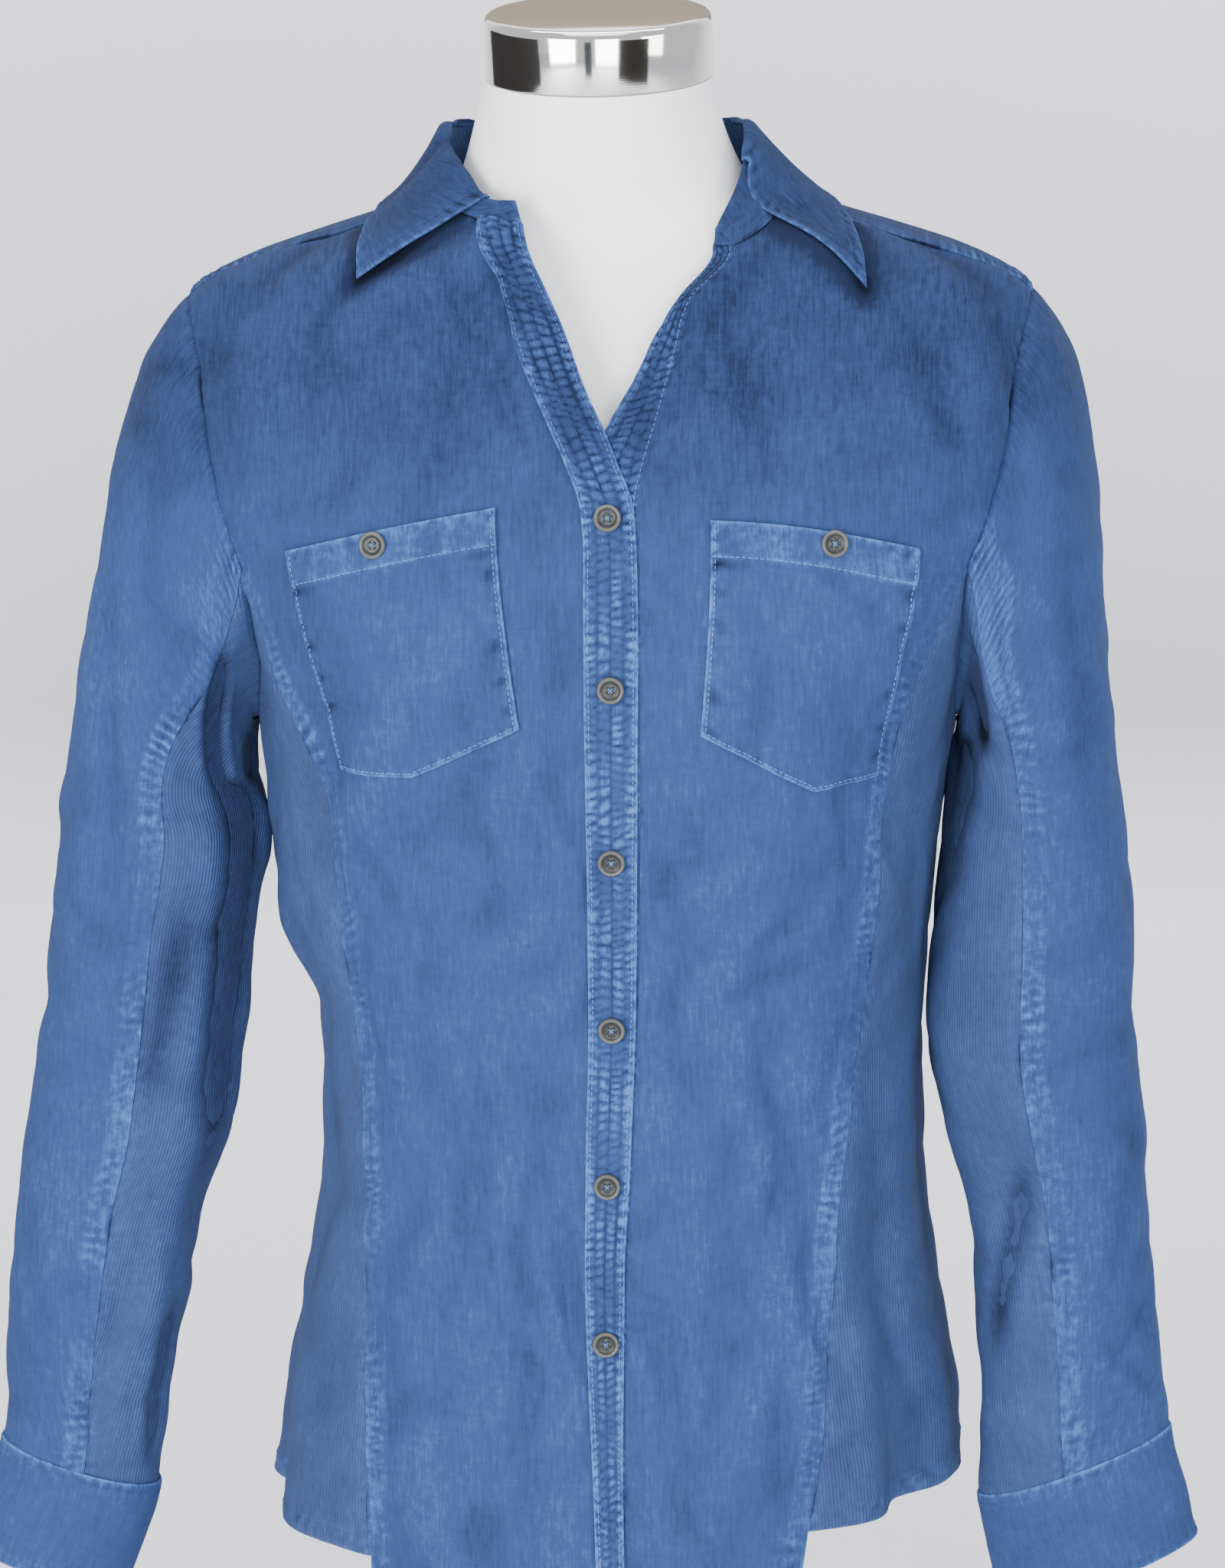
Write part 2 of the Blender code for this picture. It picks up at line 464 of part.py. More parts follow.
def add_wall(name, inner, outward, finish="pincord", gap=SEAM_GAP):
    """A closed sheet of cloth from its inner face's grid of points and its outward directions."""
    rows, columns = inner.shape[:2]
    inner = drawn_in(inner, gap / 2)
    points = np.concatenate((inner.reshape(-1, 3), (inner + outward * WALL).reshape(-1, 3)))
    size = rows * columns
    faces = []
    for i in range(rows - 1):
        for j in range(columns - 1):
            a, b = i * columns + j, (i + 1) * columns + j
            faces.append((a, b, b + 1, a + 1))
            faces.append((size + a, size + a + 1, size + b + 1, size + b))
    rim = [j for j in range(columns)] + [i * columns + columns - 1 for i in range(1, rows)]
    rim += [(rows - 1) * columns + j for j in range(columns - 2, -1, -1)]
    rim += [i * columns for i in range(rows - 2, 0, -1)]
    for a, b in zip(rim, rim[1:] + rim[:1]):
        # both pieces at a seam are split along the same diagonal
        if points[a] @ (1, 2, 3) < points[b] @ (1, 2, 3):
            faces += [(a, b, size + b), (a, size + b, size + a)]
        else:
            faces += [(a, b, size + a), (b, size + b, size + a)]
    across = np.cross(inner[1, 1] - inner[1, 0], inner[1, 1] - inner[0, 1])
    if across @ outward[1, 1] < 0:
        faces = [face[::-1] for face in faces]
    return add_solid(name, points, faces, finish)


def fill(bottom, top, left, right):
    """Places between four edges that share their corners: the two straight blends of opposite edges,
    less the blend of the corners."""
    up = np.linspace(0, 1, len(left))[:, None, None]
    over = np.linspace(0, 1, len(bottom))[None, :, None]
    rise = (1 - up) * bottom[None] + up * top[None]
    cross = (1 - over) * left[:, None] + over * right[:, None]
    corners = (1 - up) * ((1 - over) * bottom[0] + over * bottom[-1])
    corners = corners + up * ((1 - over) * top[0] + over * top[-1])
    return rise + cross - corners


def pairs(angle, height):
    return np.stack(np.broadcast_arrays(np.asarray(angle, float), np.asarray(height, float)), -1)


def armhole_places(side, around):
    return pairs(side * ARMHOLE("angle", around), ARMHOLE("height", around))


FRONT_ROWS, ARMHOLE_ROWS, TAIL_ROWS = 17, 6, 2
FRONT_NECK_COLUMNS, YOKE_RADIAL = 4, 6
YOKE_END, BACK_ARMHOLE_ROWS, BACK_COLUMNS = 4, 3, 14
SIDE_COLUMNS = 10
CAP_ROWS, SLEEVE_ROWS = 6, 12
AROUND_FRONT = np.linspace(FRONT_APEX, YOKE_FRONT, ARMHOLE_ROWS + 1)
AROUND_YOKE = np.linspace(YOKE_BACK, YOKE_FRONT, YOKE_END + 1)
AROUND_BACK = np.linspace(BACK_APEX, YOKE_BACK, BACK_ARMHOLE_ROWS + 1)
AROUND_UNDER = np.linspace(FRONT_APEX, BACK_APEX + 360, SIDE_COLUMNS + 1)


def seam_heights(side):
    """Heights down a side seam: the tail below the side panel's hem, then the seam itself."""
    tail = np.linspace(FRONT_HEM_SIDE, SIDE_HEM[side], TAIL_ROWS + 1)[:-1]
    return np.concatenate((tail, np.linspace(SIDE_HEM[side], SEAMS.rows[-1, 0], FRONT_ROWS + 1)))


def centre_heights(side):
    """Heights up the centre edge of a front, as many as up its outer edge."""
    top = COLLAR("height", 138.0 if side == RIGHT else -139.5)
    low = np.linspace(FRONT_HEM, 0.700, FRONT_ROWS + TAIL_ROWS + 1)
    return np.concatenate((low, np.linspace(0.700, float(top), ARMHOLE_ROWS + 1)[1:]))


def front_edge(side):
    heights = centre_heights(side)
    if side == LEFT:
        return pairs(BANDS("under_seam", heights), heights)
    return pairs(BANDS("upper_seam", heights) + BAND_OVERLAP, heights)


def yoke_seam(side):
    """The front yoke seam from the neckline to the armhole, just ahead of the shoulder's ridge."""
    start = pairs(side * YOKE_FRONT_AT_NECK, COLLAR("height", -side * (180.0 - YOKE_FRONT_AT_NECK)))
    end = armhole_places(side, float(YOKE_FRONT))
    share = np.linspace(0, 1, YOKE_RADIAL + 1)
    heights = start[1] + (end[1] - start[1]) * share
    angles = start[0] + (end[0] - start[0]) * share**0.62
    return pairs(angles, heights)


def front_neck_rounds(side):
    """Angles from the centre back along a front's piece of the neckline, from its band outwards."""
    at_band, at_yoke = 180 - abs(front_edge(side)[-1, 0]), 180 - YOKE_FRONT_AT_NECK
    share = np.linspace(0, 1, FRONT_NECK_COLUMNS + 1) ** 1.4
    return -side * (at_band + (at_yoke - at_band) * share)


def add_front(side, name):
    rounds = front_neck_rounds(side)
    neck = pairs(180 + rounds - 360 * (rounds > 0), COLLAR("height", rounds))
    top = np.concatenate((neck, yoke_seam(side)[1:]))
    heights = seam_heights(side)
    angles = side * SEAMS("front_left" if side == LEFT else "front_right", heights)
    outer = np.concatenate((pairs(angles, heights), armhole_places(side, AROUND_FRONT)[1:]))
    centre = front_edge(side)
    centre[-1] = top[0]
    share = np.linspace(0, 1, len(top))
    hem = pairs(centre[0, 0] + (outer[0, 0] - centre[0, 0]) * share,
                centre[0, 1] + (outer[0, 1] - centre[0, 1]) * share**2)
    places = fill(hem, top, centre, outer)
    inner = on_body(places[..., 0], places[..., 1])
    outward = body_normal(places[..., 0], places[..., 1])
    outward[-ARMHOLE_ROWS - 1:, -1] = armhole_direction(side, AROUND_FRONT)
    outward[-1, :FRONT_NECK_COLUMNS + 1] = neck_direction(rounds)
    return add_wall(name, inner, outward)


def add_back():
    edges = {}
    for side in (LEFT, RIGHT):
        heights = seam_heights(side)
        seam = pairs(SEAMS("back", heights), heights)
        arm = pairs(ARMHOLE("angle", AROUND_BACK), ARMHOLE("height", AROUND_BACK))[1:]
        edges[side] = np.concatenate((seam, arm))
    left, right = edges[LEFT], edges[RIGHT] * (-1, 1) + (360, 0)
    share = np.linspace(0, 1, BACK_COLUMNS + 1)
    hem = pairs(left[0, 0] + (right[0, 0] - left[0, 0]) * share,
                FRONT_HEM_SIDE - (FRONT_HEM_SIDE - FRONT_HEM) * np.sin(np.pi * share))
    top = pairs(left[-1, 0] + (right[-1, 0] - left[-1, 0]) * share, YOKE_BACK_HEIGHT)
    places = fill(hem, top, left, right)
    outward = body_normal(places[..., 0], places[..., 1])
    outward[-BACK_ARMHOLE_ROWS - 1:, 0] = armhole_direction(LEFT, AROUND_BACK)
    outward[-BACK_ARMHOLE_ROWS - 1:, -1] = armhole_direction(RIGHT, AROUND_BACK)
    return add_wall("back", on_body(places[..., 0], places[..., 1]), outward)


def add_yoke():
    """A strip round the back of the neck. Its outer edge is one armhole, the back seam and the other
    armhole, and its ends are the front yoke seams."""
    share = np.linspace(0, 1, BACK_COLUMNS + 1)
    arm_left = armhole_places(LEFT, AROUND_YOKE[::-1])
    arm_right = armhole_places(RIGHT, AROUND_YOKE) + (360, 0)
    seam = pairs(arm_left[-1, 0] + (arm_right[0, 0] - arm_left[-1, 0]) * share, YOKE_BACK_HEIGHT)
    outer = np.concatenate((arm_left, seam[1:-1], arm_right))
    rounds = np.linspace(YOKE_FRONT_AT_NECK - 180, 180 - YOKE_FRONT_AT_NECK, len(outer))
    neck = pairs(180 + rounds, COLLAR("height", rounds))
    left, right = yoke_seam(LEFT), yoke_seam(RIGHT) + (360, 0)
    places = fill(neck, outer, left, right)
    inner = on_body(places[..., 0], places[..., 1])
    outward = body_normal(places[..., 0], places[..., 1])
    outward[-1, :YOKE_END + 1] = armhole_direction(LEFT, AROUND_YOKE[::-1])
    outward[-1, -YOKE_END - 1:] = armhole_direction(RIGHT, AROUND_YOKE)
    outward[0] = neck_direction(rounds)
    return add_wall("yoke", inner, outward)


def add_side(side, name):
    heights = seam_heights(side)[TAIL_ROWS:]
    front = pairs(SEAMS("front_left" if side == LEFT else "front_right", heights), heights)
    back = pairs(SEAMS("back", heights), heights)
    top = armhole_places(1, (AROUND_UNDER + 180) % 360 - 180)
    hem = pairs(np.linspace(front[0, 0], back[0, 0], SIDE_COLUMNS + 1), SIDE_HEM[side])
    places = fill(hem, top, front, back) * (side, 1)
    outward = body_normal(places[..., 0], places[..., 1])
    outward[-1] = armhole_direction(side, (AROUND_UNDER + 180) % 360 - 180)
    return add_wall(name, on_body(places[..., 0], places[..., 1]), outward, "rib_knit")


def sleeve_columns(at_armhole, at_foot, along):
    """Angles round the sleeve for each row: they start as the armhole's and even out further down."""
    share = ease((along - 0.3) / 0.9)[:, None]
    return at_armhole * (1 - share) + at_foot * share


def along_at(side, height):
    return 1 + (SLEEVE_TOP - height) / (SLEEVE_TOP - SLEEVE_FOOT[side])


def upper_columns():
    return np.concatenate((AROUND_BACK, AROUND_YOKE[1:], AROUND_FRONT[::-1][1:]))


def add_sleeve(side, name, at_armhole, seams, finish):
    cuff_top, end = along_at(side, CUFF_TOP[side]), along_at(side, CUFF_TOP[side] - SLEEVE_IN_CUFF)
    whole = np.linspace(1, cuff_top, SLEEVE_ROWS)[1:]
    along = np.concatenate((np.linspace(0, 1, CAP_ROWS + 1), whole, [end]))
    around = sleeve_columns(at_armhole, np.linspace(*seams, len(at_armhole)), along)
    rows = np.broadcast_to(along[:, None], around.shape)
    outward = sleeve_normal(side, around, rows)
    outward[0] = armhole_direction(side, (at_armhole + 180) % 360 - 180)
    return add_wall(name, on_sleeve(side)(around, rows), outward, finish)


def add_cuff(side, name):
    """A band round the sleeve's end. Its outer end laps over the inner one at the back seam."""
    upper = np.linspace(SLEEVE_SEAM_BACK, SLEEVE_SEAM_FRONT, len(upper_columns()))
    under = np.linspace(SLEEVE_SEAM_FRONT, SLEEVE_SEAM_BACK + 360, SIDE_COLUMNS + 1)
    around = np.concatenate((upper, under[1:], upper[1:3] + 360))
    lap = np.zeros(len(around))
    lap[-4:] = (0.5, 1, 1, 1)
    top = CUFF_TOP[side]
    along = along_at(side, np.array((top, top - SLEEVE_IN_CUFF, (top + SLEEVE_FOOT[side]) / 2, SLEEVE_FOOT[side])))
    around, along = np.broadcast_arrays(around[None], along[:, None])
    outward = sleeve_normal(side, around, along)
    lift = CUFF_LIFT * (1 + lap)[None, :, None]
    return add_wall(name, on_sleeve(side)(around, along) + outward * lift, outward)


def add_bands():
    """The band that goes up the right front and its side of the V lies over the other one."""
    for name, side, lift, edges in (
        ("band_upper", RIGHT, WALL + LAYER_GAP, ("upper_seam", "upper_free")),
        ("band_under", LEFT, 0, ("under_seam", "under_free")),
    ):
        seam = centre_heights(side)
        free = np.interp(seam, (0.70, seam[-1]), (0.70, 0.8471 if side == RIGHT else 0.8366))
        free = np.where(seam < 0.70, seam, free)
        share = np.linspace(0, 1, 5)[None, :]
        seam_angle, free_angle = BANDS(edges[0], seam), BANDS(edges[1], free)
        angle = seam_angle[:, None] * (1 - share) + free_angle[:, None] * share
        height = seam[:, None] * (1 - share) + free[:, None] * share
        sink = BANDS("sink", free)[:, None] * share if side == LEFT else 0 * share * height

        def surface(angle, height, sink=sink):
            place = on_body(angle, height)
            return place - unit(place * (1, 1, 0)) * sink[..., None]

        place = surface(angle, height)
        rise, cross = np.gradient(place, axis=(0, 1))
        outward = body_normal(angle, height)
        if side == LEFT:
            outward[:, 1:] = unit(np.cross(rise, cross))[:, 1:]
            at_seam = neck_direction(np.array((STAND_CORNER,)))
            outward[-1] = unit(at_seam * (1 - share.T) + stand_end_direction() * share.T)
        else:
            outward[-1] = neck_direction(180 - np.abs(angle[-1]))
        raised = (lift + lift * 0.4 * ease((height - 0.80) / 0.05))[..., None]
        add_wall(name, place + outward * raised, outward)


def stand_end_direction():
    """Along the body, towards the opening."""
    turn = np.radians(180 + COLLAR.rows[0, 0])
    return np.array((-np.cos(turn), -np.sin(turn), 0))


def add_stand():
    rounds = stand_rounds()
    up = np.linspace(0, 1, 3)[:, None]
    around, up = np.broadcast_arrays(rounds[None], up)
    outward = stand_normal(around, np.clip(up, 0.03, 0.97))
    outward[0] = neck_direction(rounds)
    place = on_stand(around, up)
    outward[:, 0] = stand_end_direction()
    return add_wall("collar_stand", place, outward)


def stand_rounds():
    """Angles along the neckline: the left front, the yoke, the right front and the upper band."""
    left, right = front_neck_rounds(LEFT), front_neck_rounds(RIGHT)
    yoke = np.linspace(YOKE_FRONT_AT_NECK - 180, 180 - YOKE_FRONT_AT_NECK, 2 * YOKE_END + BACK_COLUMNS + 1)
    first, last = COLLAR.rows[0, 0], COLLAR.rows[-1, 0]
    return np.concatenate(([first], left, yoke[1:-1], right[::-1], [(right[0] + last) / 2, last]))


def add_fall():
    """The fall starts on top of the stand, rolls over it and hangs outside."""
    around = np.array([a for a in stand_rounds() if FALL_ENDS[0] <= a <= FALL_ENDS[1]])
    between = (around[1:] + around[:-1]) / 2
    around = np.sort(np.concatenate((around, between[np.abs(between) > 100])))
    roll, edge = collar_place("roll", around), collar_place("edge", around)
    away = unit((edge - roll) * (1, 1, 0))
    on_top = roll + np.array((0, 0, 0.0006))
    crest = roll + away * ROLL_OUT * 0.35 + np.array((0, 0, ROLL_RISE))
    hung = on_fall(around[None], np.array((0, 0.08, 0.22, 0.45, 0.72, 1))[:, None])
    place = np.concatenate((on_top[None], crest[None], hung[:1], kept_off(hung[1:], FALL_OFF_SHIRT)))
    rise, cross = np.gradient(place, axis=(0, 1))
    outward = unit(np.cross(rise, cross))
    outward[0] = unit(outward[0] * 0.3 + np.array((0, 0, 1.0)))
    return add_wall("collar_fall", place, outward, gap=0)


def add_pocket(side, name):
    """A patch with a pointed foot, made on the front's surface and moved out."""
    corner = {key: np.array(value) * (side, 1) for key, value in POCKET[side].items() if key != "arch"}
    columns, rows = 8, 7
    share = np.linspace(0, 1, columns + 1)[:, None]
    top = corner["inner_top"] + (corner["outer_top"] - corner["inner_top"]) * share
    top += np.sin(np.pi * share) * (0, POCKET[side]["arch"])
    before = corner["inner_foot"] + (corner["point"] - corner["inner_foot"]) * share * 2
    after = corner["point"] + (corner["outer_foot"] - corner["point"]) * (share * 2 - 1)
    foot = np.where(share < 0.5, before, after)
    down = np.linspace(0, 1, rows + 1)[:, None]
    inner = corner["inner_foot"] + (corner["inner_top"] - corner["inner_foot"]) * down
    outer = corner["outer_foot"] + (corner["outer_top"] - corner["outer_foot"]) * down
    places = fill(foot, top, inner, outer)
    outward = body_normal(places[..., 0], places[..., 1])
    return add_wall(name, on_body(places[..., 0], places[..., 1]) + outward * POCKET_LIFT, outward, gap=0)


def turned(name, profile, segments, finish, place=Matrix.Identity(4)):
    """A profile of radius and height, from the axis out and back to it, turned about Z."""
    turn = np.linspace(0, 2 * np.pi, segments, endpoint=False)
    rings = [np.stack((r * np.cos(turn), r * np.sin(turn), np.full(segments, z)), -1) for r, z in profile[1:-1]]
    points = np.concatenate([[(0, 0, profile[0][1])], *rings, [(0, 0, profile[-1][1])]])
    last = len(points) - 1
    faces = []
    for k in range(segments):
        n = (k + 1) % segments
        faces.append((0, 1 + n, 1 + k))
        for ring in range(len(rings) - 1):
            a, b = 1 + ring * segments, 1 + (ring + 1) * segments
            faces.append((a + k, a + n, b + n, b + k))
        top = 1 + (len(rings) - 1) * segments
        faces.append((last, top + k, top + n))
    made = add_solid(name, points, faces, finish)
    made.matrix_world = place
    return made


def facing(point, normal):
    """A place whose Z axis is the normal."""
    spin = Vector(normal).to_track_quat("Z", "Y").to_matrix().to_4x4()
    return Matrix.Translation(Vector(point)) @ spin


def add_button(name, point, normal):
    r, t = BUTTON_RADIUS, BUTTON_THICKNESS
    profile = ((0, 0), (r - 0.0008, 0), (r, 0.0009), (r - 0.0004, t - 0.0003), (r - 0.0012, t),
               (r - 0.0026, t - 0.0008), (0, t - 0.0009))
    return turned(name, profile, 16, "button_grey", facing(point, normal))


def add_buttons():
    over_band = 2 * WALL + LAYER_GAP + 0.0004
    for number, height in enumerate(BUTTON_HEIGHTS, 1):
        angle = (BANDS("upper_seam", height) + BANDS("upper_free", height)) / 2
        normal = body_normal(angle, height)
        add_button(f"button_front_{number}", on_body(angle, height) + normal * over_band, normal)
    for side, word in ((LEFT, "left"), (RIGHT, "right")):
        angle, height = POCKET_BUTTON[side]
        normal = body_normal(side * angle, height)
        lift = POCKET_LIFT + WALL + 0.0004
        add_button(f"button_pocket_{word}", on_body(side * angle, height) + normal * lift, normal)
        around, along = SLEEVE_SEAM_BACK + 14.0, (along_at(side, CUFF_TOP[side]) + 2) / 2
        normal = sleeve_normal(side, around, along)
        lift = 2 * CUFF_LIFT + WALL + 0.0005
        add_button(f"button_cuff_{word}", on_sleeve(side)(around, along) + normal * lift, normal)


def form_place(turn, height):
    radius = ring_radius(FORM, turn, height)
    x, y = radius * np.sin(turn), -radius * np.cos(turn)
    tip = np.tan(np.radians(FORM("lean", height)))
    return np.stack((x + FORM("centre_x", height), y + FORM("centre_y", height), height + y * tip), -1)


def add_form():
    segments = 28
    turn = np.radians(np.arange(segments) * 360 / segments)
    heights = np.array(FORM_RINGS)
    rings = form_place(turn[None, :], np.broadcast_to(heights[:, None], (len(heights), segments)))
    points = rings.reshape(-1, 3)
    faces = [tuple(range(segments))[::-1]]
    for i in range(len(heights) - 1):
        for k in range(segments):
            a, b, n = i * segments, (i + 1) * segments, (k + 1) % segments
            faces.append((a + k, a + n, b + n, b + k))
    faces.append(tuple((len(heights) - 1) * segments + k for k in range(segments)))
    add_solid("form_body", points, faces, "white_skin")

    top = heights[-1]
    centre = Vector((FORM("centre_x", top), FORM("centre_y", top), top))
    tilt = Matrix.Rotation(np.radians(CAP_TILT), 4, "X")
    r, h, low = CAP_RADIUS, CAP_HEIGHT, 0.0003
    profile = ((0, low), (r - 0.0006, low), (r, low + 0.0008), (r, h - 0.004), (r - 0.0012, h - 0.0012),
               (r - 0.004, h), (r - 0.012, h + 0.0014), (0, h + 0.0024))
    turned("form_neck_cap", profile, 32, "chrome", Matrix.Translation(centre) @ tilt)

    foot, head = BASE_HEIGHT + 0.0003, heights[0] - 0.0003
    post = ((0, foot), (POST_RADIUS, foot), (POST_RADIUS, head), (0, head))
    turned("form_post", post, 20, "chrome")
    r, h = BASE_RADIUS, BASE_HEIGHT
    base = ((0, 0), (r - 0.001, 0), (r, 0.001), (r, h - 0.005), (r - 0.002, h - 0.002), (r - 0.006, h - 0.0006),
            (r - 0.03, h), (0, h))
    turned("form_base", base, 40, "white_skin")


def main():
    for old in list(bpy.data.objects):
        bpy.data.objects.remove(old)
    for side, word in ((LEFT, "left"), (RIGHT, "right")):
        add_front(side, f"front_{word}")
        add_side(side, f"side_{word}")
        add_sleeve(side, f"sleeve_upper_{word}", upper_columns(), (SLEEVE_SEAM_BACK, SLEEVE_SEAM_FRONT), "pincord")
        add_sleeve(side, f"sleeve_under_{word}", AROUND_UNDER, (SLEEVE_SEAM_FRONT, SLEEVE_SEAM_BACK + 360), "rib_knit")
        add_cuff(side, f"cuff_{word}")
        add_pocket(side, f"pocket_{word}")
    add_back()
    add_yoke()
    add_bands()
    add_stand()
    add_fall()
    add_buttons()
    add_form()


if __name__ == "__main__":
    main()
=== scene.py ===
import bpy
import numpy as np
from mathutils import Matrix, Vector


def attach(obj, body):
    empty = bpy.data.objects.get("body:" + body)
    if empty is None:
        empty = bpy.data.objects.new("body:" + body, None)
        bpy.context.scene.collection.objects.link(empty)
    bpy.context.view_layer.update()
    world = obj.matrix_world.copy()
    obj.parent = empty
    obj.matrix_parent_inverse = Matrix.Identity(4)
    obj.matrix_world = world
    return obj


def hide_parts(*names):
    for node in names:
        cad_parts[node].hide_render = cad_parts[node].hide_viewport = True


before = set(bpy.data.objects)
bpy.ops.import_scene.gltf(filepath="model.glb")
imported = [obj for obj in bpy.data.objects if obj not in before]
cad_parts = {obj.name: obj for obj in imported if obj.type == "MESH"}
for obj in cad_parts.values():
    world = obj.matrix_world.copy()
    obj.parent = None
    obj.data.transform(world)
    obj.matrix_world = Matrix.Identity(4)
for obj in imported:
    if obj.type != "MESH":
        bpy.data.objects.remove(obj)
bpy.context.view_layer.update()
left, right = 1, -1

# ---- camera and light

view = dict(turn=4.0, distance=2.6, height=1.173, pitch=13.3, roll=0.9, focal=6990 / 2048 * 36, aside=-0.0027)


def addObject(name, data):
    made = bpy.data.objects.new(name, data)
    bpy.context.scene.collection.objects.link(made)
    return made


def addCamera():
    turn, pitch, roll = (np.radians(view[key]) for key in ("turn", "pitch", "roll"))
    level, across = np.array((-np.sin(turn), np.cos(turn), 0)), np.array((np.cos(turn), np.sin(turn), 0))
    ahead = level * np.cos(pitch) - np.array((0, 0, np.sin(pitch)))
    up = np.cross(across, ahead)
    matrix = Matrix.Identity(4)
    for k, column in enumerate((across * np.cos(roll) - up * np.sin(roll),
                                across * np.sin(roll) + up * np.cos(roll), -ahead)):
        matrix.col[k][:3] = column
    matrix.translation = -level * view["distance"] + np.array((0, 0, view["height"])) + across * view["aside"]
    data = bpy.data.cameras.new("camera")
    data.sensor_fit = "VERTICAL"
    data.sensor_height = 36
    data.lens = view["focal"]
    made = addObject("camera", data)
    made.matrix_world = matrix
    bpy.context.scene.camera = made


lamps = (  # place, aim, width and height, power, colour
    ((-1.7, -2.7, 0.95), (0, 0, 0.55), 1.5, 1.7, 150, (1.0, 0.99, 0.98)),
    ((0.65, -3.0, 0.90), (0, 0, 0.55), 1.2, 1.7, 95, (0.97, 0.985, 1.0)),
    ((2.5, -1.5, 1.1), (0, 0, 0.55), 1.2, 1.4, 50, (0.97, 0.985, 1.0)),
    ((0.0, -0.6, 3.2), (0, 0, 0.8), 1.8, 1.8, 26, (1.0, 1.0, 1.0)),
    ((0.0, 0.6, 3.4), (0, 2.8, 1.6), 3.0, 1.0, 160, (1.0, 0.99, 1.0)),
)


def addLamps():
    for k, (place, aim, width, height, power, colour) in enumerate(lamps):
        data = bpy.data.lights.new(f"lamp_{k + 1}", "AREA")
        data.shape = "RECTANGLE"
        data.size, data.size_y, data.energy, data.color = width, height, power, colour
        made = addObject(f"lamp_{k + 1}", data)
        made.location = place
        made.rotation_euler = (Vector(aim) - Vector(place)).to_track_quat("-Z", "Y").to_euler()
    world = bpy.data.worlds.new("world")
    world.use_nodes = True
    world.node_tree.nodes["Background"].inputs[0].default_value = (0.93, 0.94, 0.98, 1)
    world.node_tree.nodes["Background"].inputs[1].default_value = 1.0
    bpy.context.scene.world = world


# ---- shader sums

class Wire:
    # A socket that takes part in sums: each operator adds a Math node.
    def __init__(self, tree, socket=None):
        self.tree, self.socket = tree, socket

    def node(self, kind, settings=(), values=(), out=0):
        made = self.tree.nodes.new(kind)
        for key, value in dict(settings).items():
            if key == "stops":
                ramp = made.color_ramp.elements
                while len(ramp) < len(value):
                    ramp.new(0.5)
                for element, (at, colour) in zip(ramp, value):
                    element.position, element.color = at, (*colour, 1)
            else:
                setattr(made, key, value)
        for key, value in dict(values).items():
            if isinstance(value, Wire):
                self.tree.links.new(value.socket, made.inputs[key])
            else:
                made.inputs[key].default_value = value
        return Wire(self.tree, made.outputs[out])

    def sum(self, operation, *values):
        return self.node("ShaderNodeMath", {"operation": operation}, dict(enumerate(values)))

    def __add__(self, other):
        return self.sum("ADD", self, other)

    def __mul__(self, other):
        return self.sum("MULTIPLY", self, other)

    def __sub__(self, other):
        return self.sum("SUBTRACT", self, other)

    def __rsub__(self, other):
        return self.sum("SUBTRACT", other, self)

    __radd__, __rmul__ = __add__, __mul__

    def noise(self, vector, scale, detail=2, rough=0.5, stretch=(1, 1, 1)):
        placed = self.node("ShaderNodeMapping", values={"Vector": vector, "Scale": stretch})
        return self.node("ShaderNodeTexNoise", values={"Vector": placed, "Scale": scale, "Detail": detail,
                                                       "Roughness": rough})

    def smooth(self, value, low, high):
        return self.node("ShaderNodeMapRange", {"interpolation_type": "SMOOTHSTEP"},
                         {0: value, 1: low, 2: high})

    def mixed(self, share, first, second):
        return self.node("ShaderNodeMix", {"data_type": "RGBA"}, {0: share, 6: first, 7: second}, 2)

    def painted(self, name):
        return self.node("ShaderNodeAttribute", {"attribute_name": name}, out="Fac")

    def feed(self, shader, name):
        self.tree.links.new(self.socket, shader.inputs[name])

    def bump(self, shader, strength, distance):
        self.node("ShaderNodeBump", values={"Height": self, "Strength": strength,
                                            "Distance": distance}).feed(shader, "Normal")


def startFinish(name, colour, roughness, metallic=0.0):
    made = bpy.data.materials.new(name)
    made.use_nodes = True
    shader = made.node_tree.nodes["Principled BSDF"]
    shader.inputs["Base Color"].default_value = (*colour, 1)
    shader.inputs["Roughness"].default_value = roughness
    shader.inputs["Metallic"].default_value = metallic
    return made, shader, Wire(made.node_tree)


# Rows as dictionaries by the columns' names; a column in mm turns into metres.
def named(names, rows):
    columns = [name.partition("_mm")[:2] for name in names.split()]
    return [{name: value / 1000 if mm else value for (name, mm), value in zip(columns, row)} for row in rows]


clothLook = dict(zip(("pincord", "band", "rib knit", "seam thread", "thread"), named(
    "dark deep mid pale rib_mm ribDepth streak cloud wear", (
    ((0.0075, 0.0125, 0.036), (0.019, 0.034, 0.094), (0.0242, 0.049, 0.142), (0.054, 0.128, 0.315),
     1.1, 0.35, 0.19, 0.11, 0.6),
    ((0.007, 0.012, 0.035), (0.018, 0.032, 0.09), (0.025, 0.051, 0.148), (0.062, 0.143, 0.345),
     1.1, 0.25, 0.08, 0.1, 0.62),
    ((0.008, 0.013, 0.034), (0.021, 0.034, 0.088), (0.03, 0.053, 0.138), (0.057, 0.112, 0.26),
     1.6, 0.95, 0.1, 0.12, 0.5),
    ((0.01, 0.018, 0.05), (0.022, 0.041, 0.112), (0.033, 0.069, 0.19), (0.06, 0.14, 0.34),
     1.1, 0, 0, 0.4, 0.2),
    ((0.03, 0.06, 0.15), (0.06, 0.12, 0.29), (0.09, 0.18, 0.42), (0.14, 0.26, 0.55), 1.1, 0, 0, 0.3, 0.2),
))))


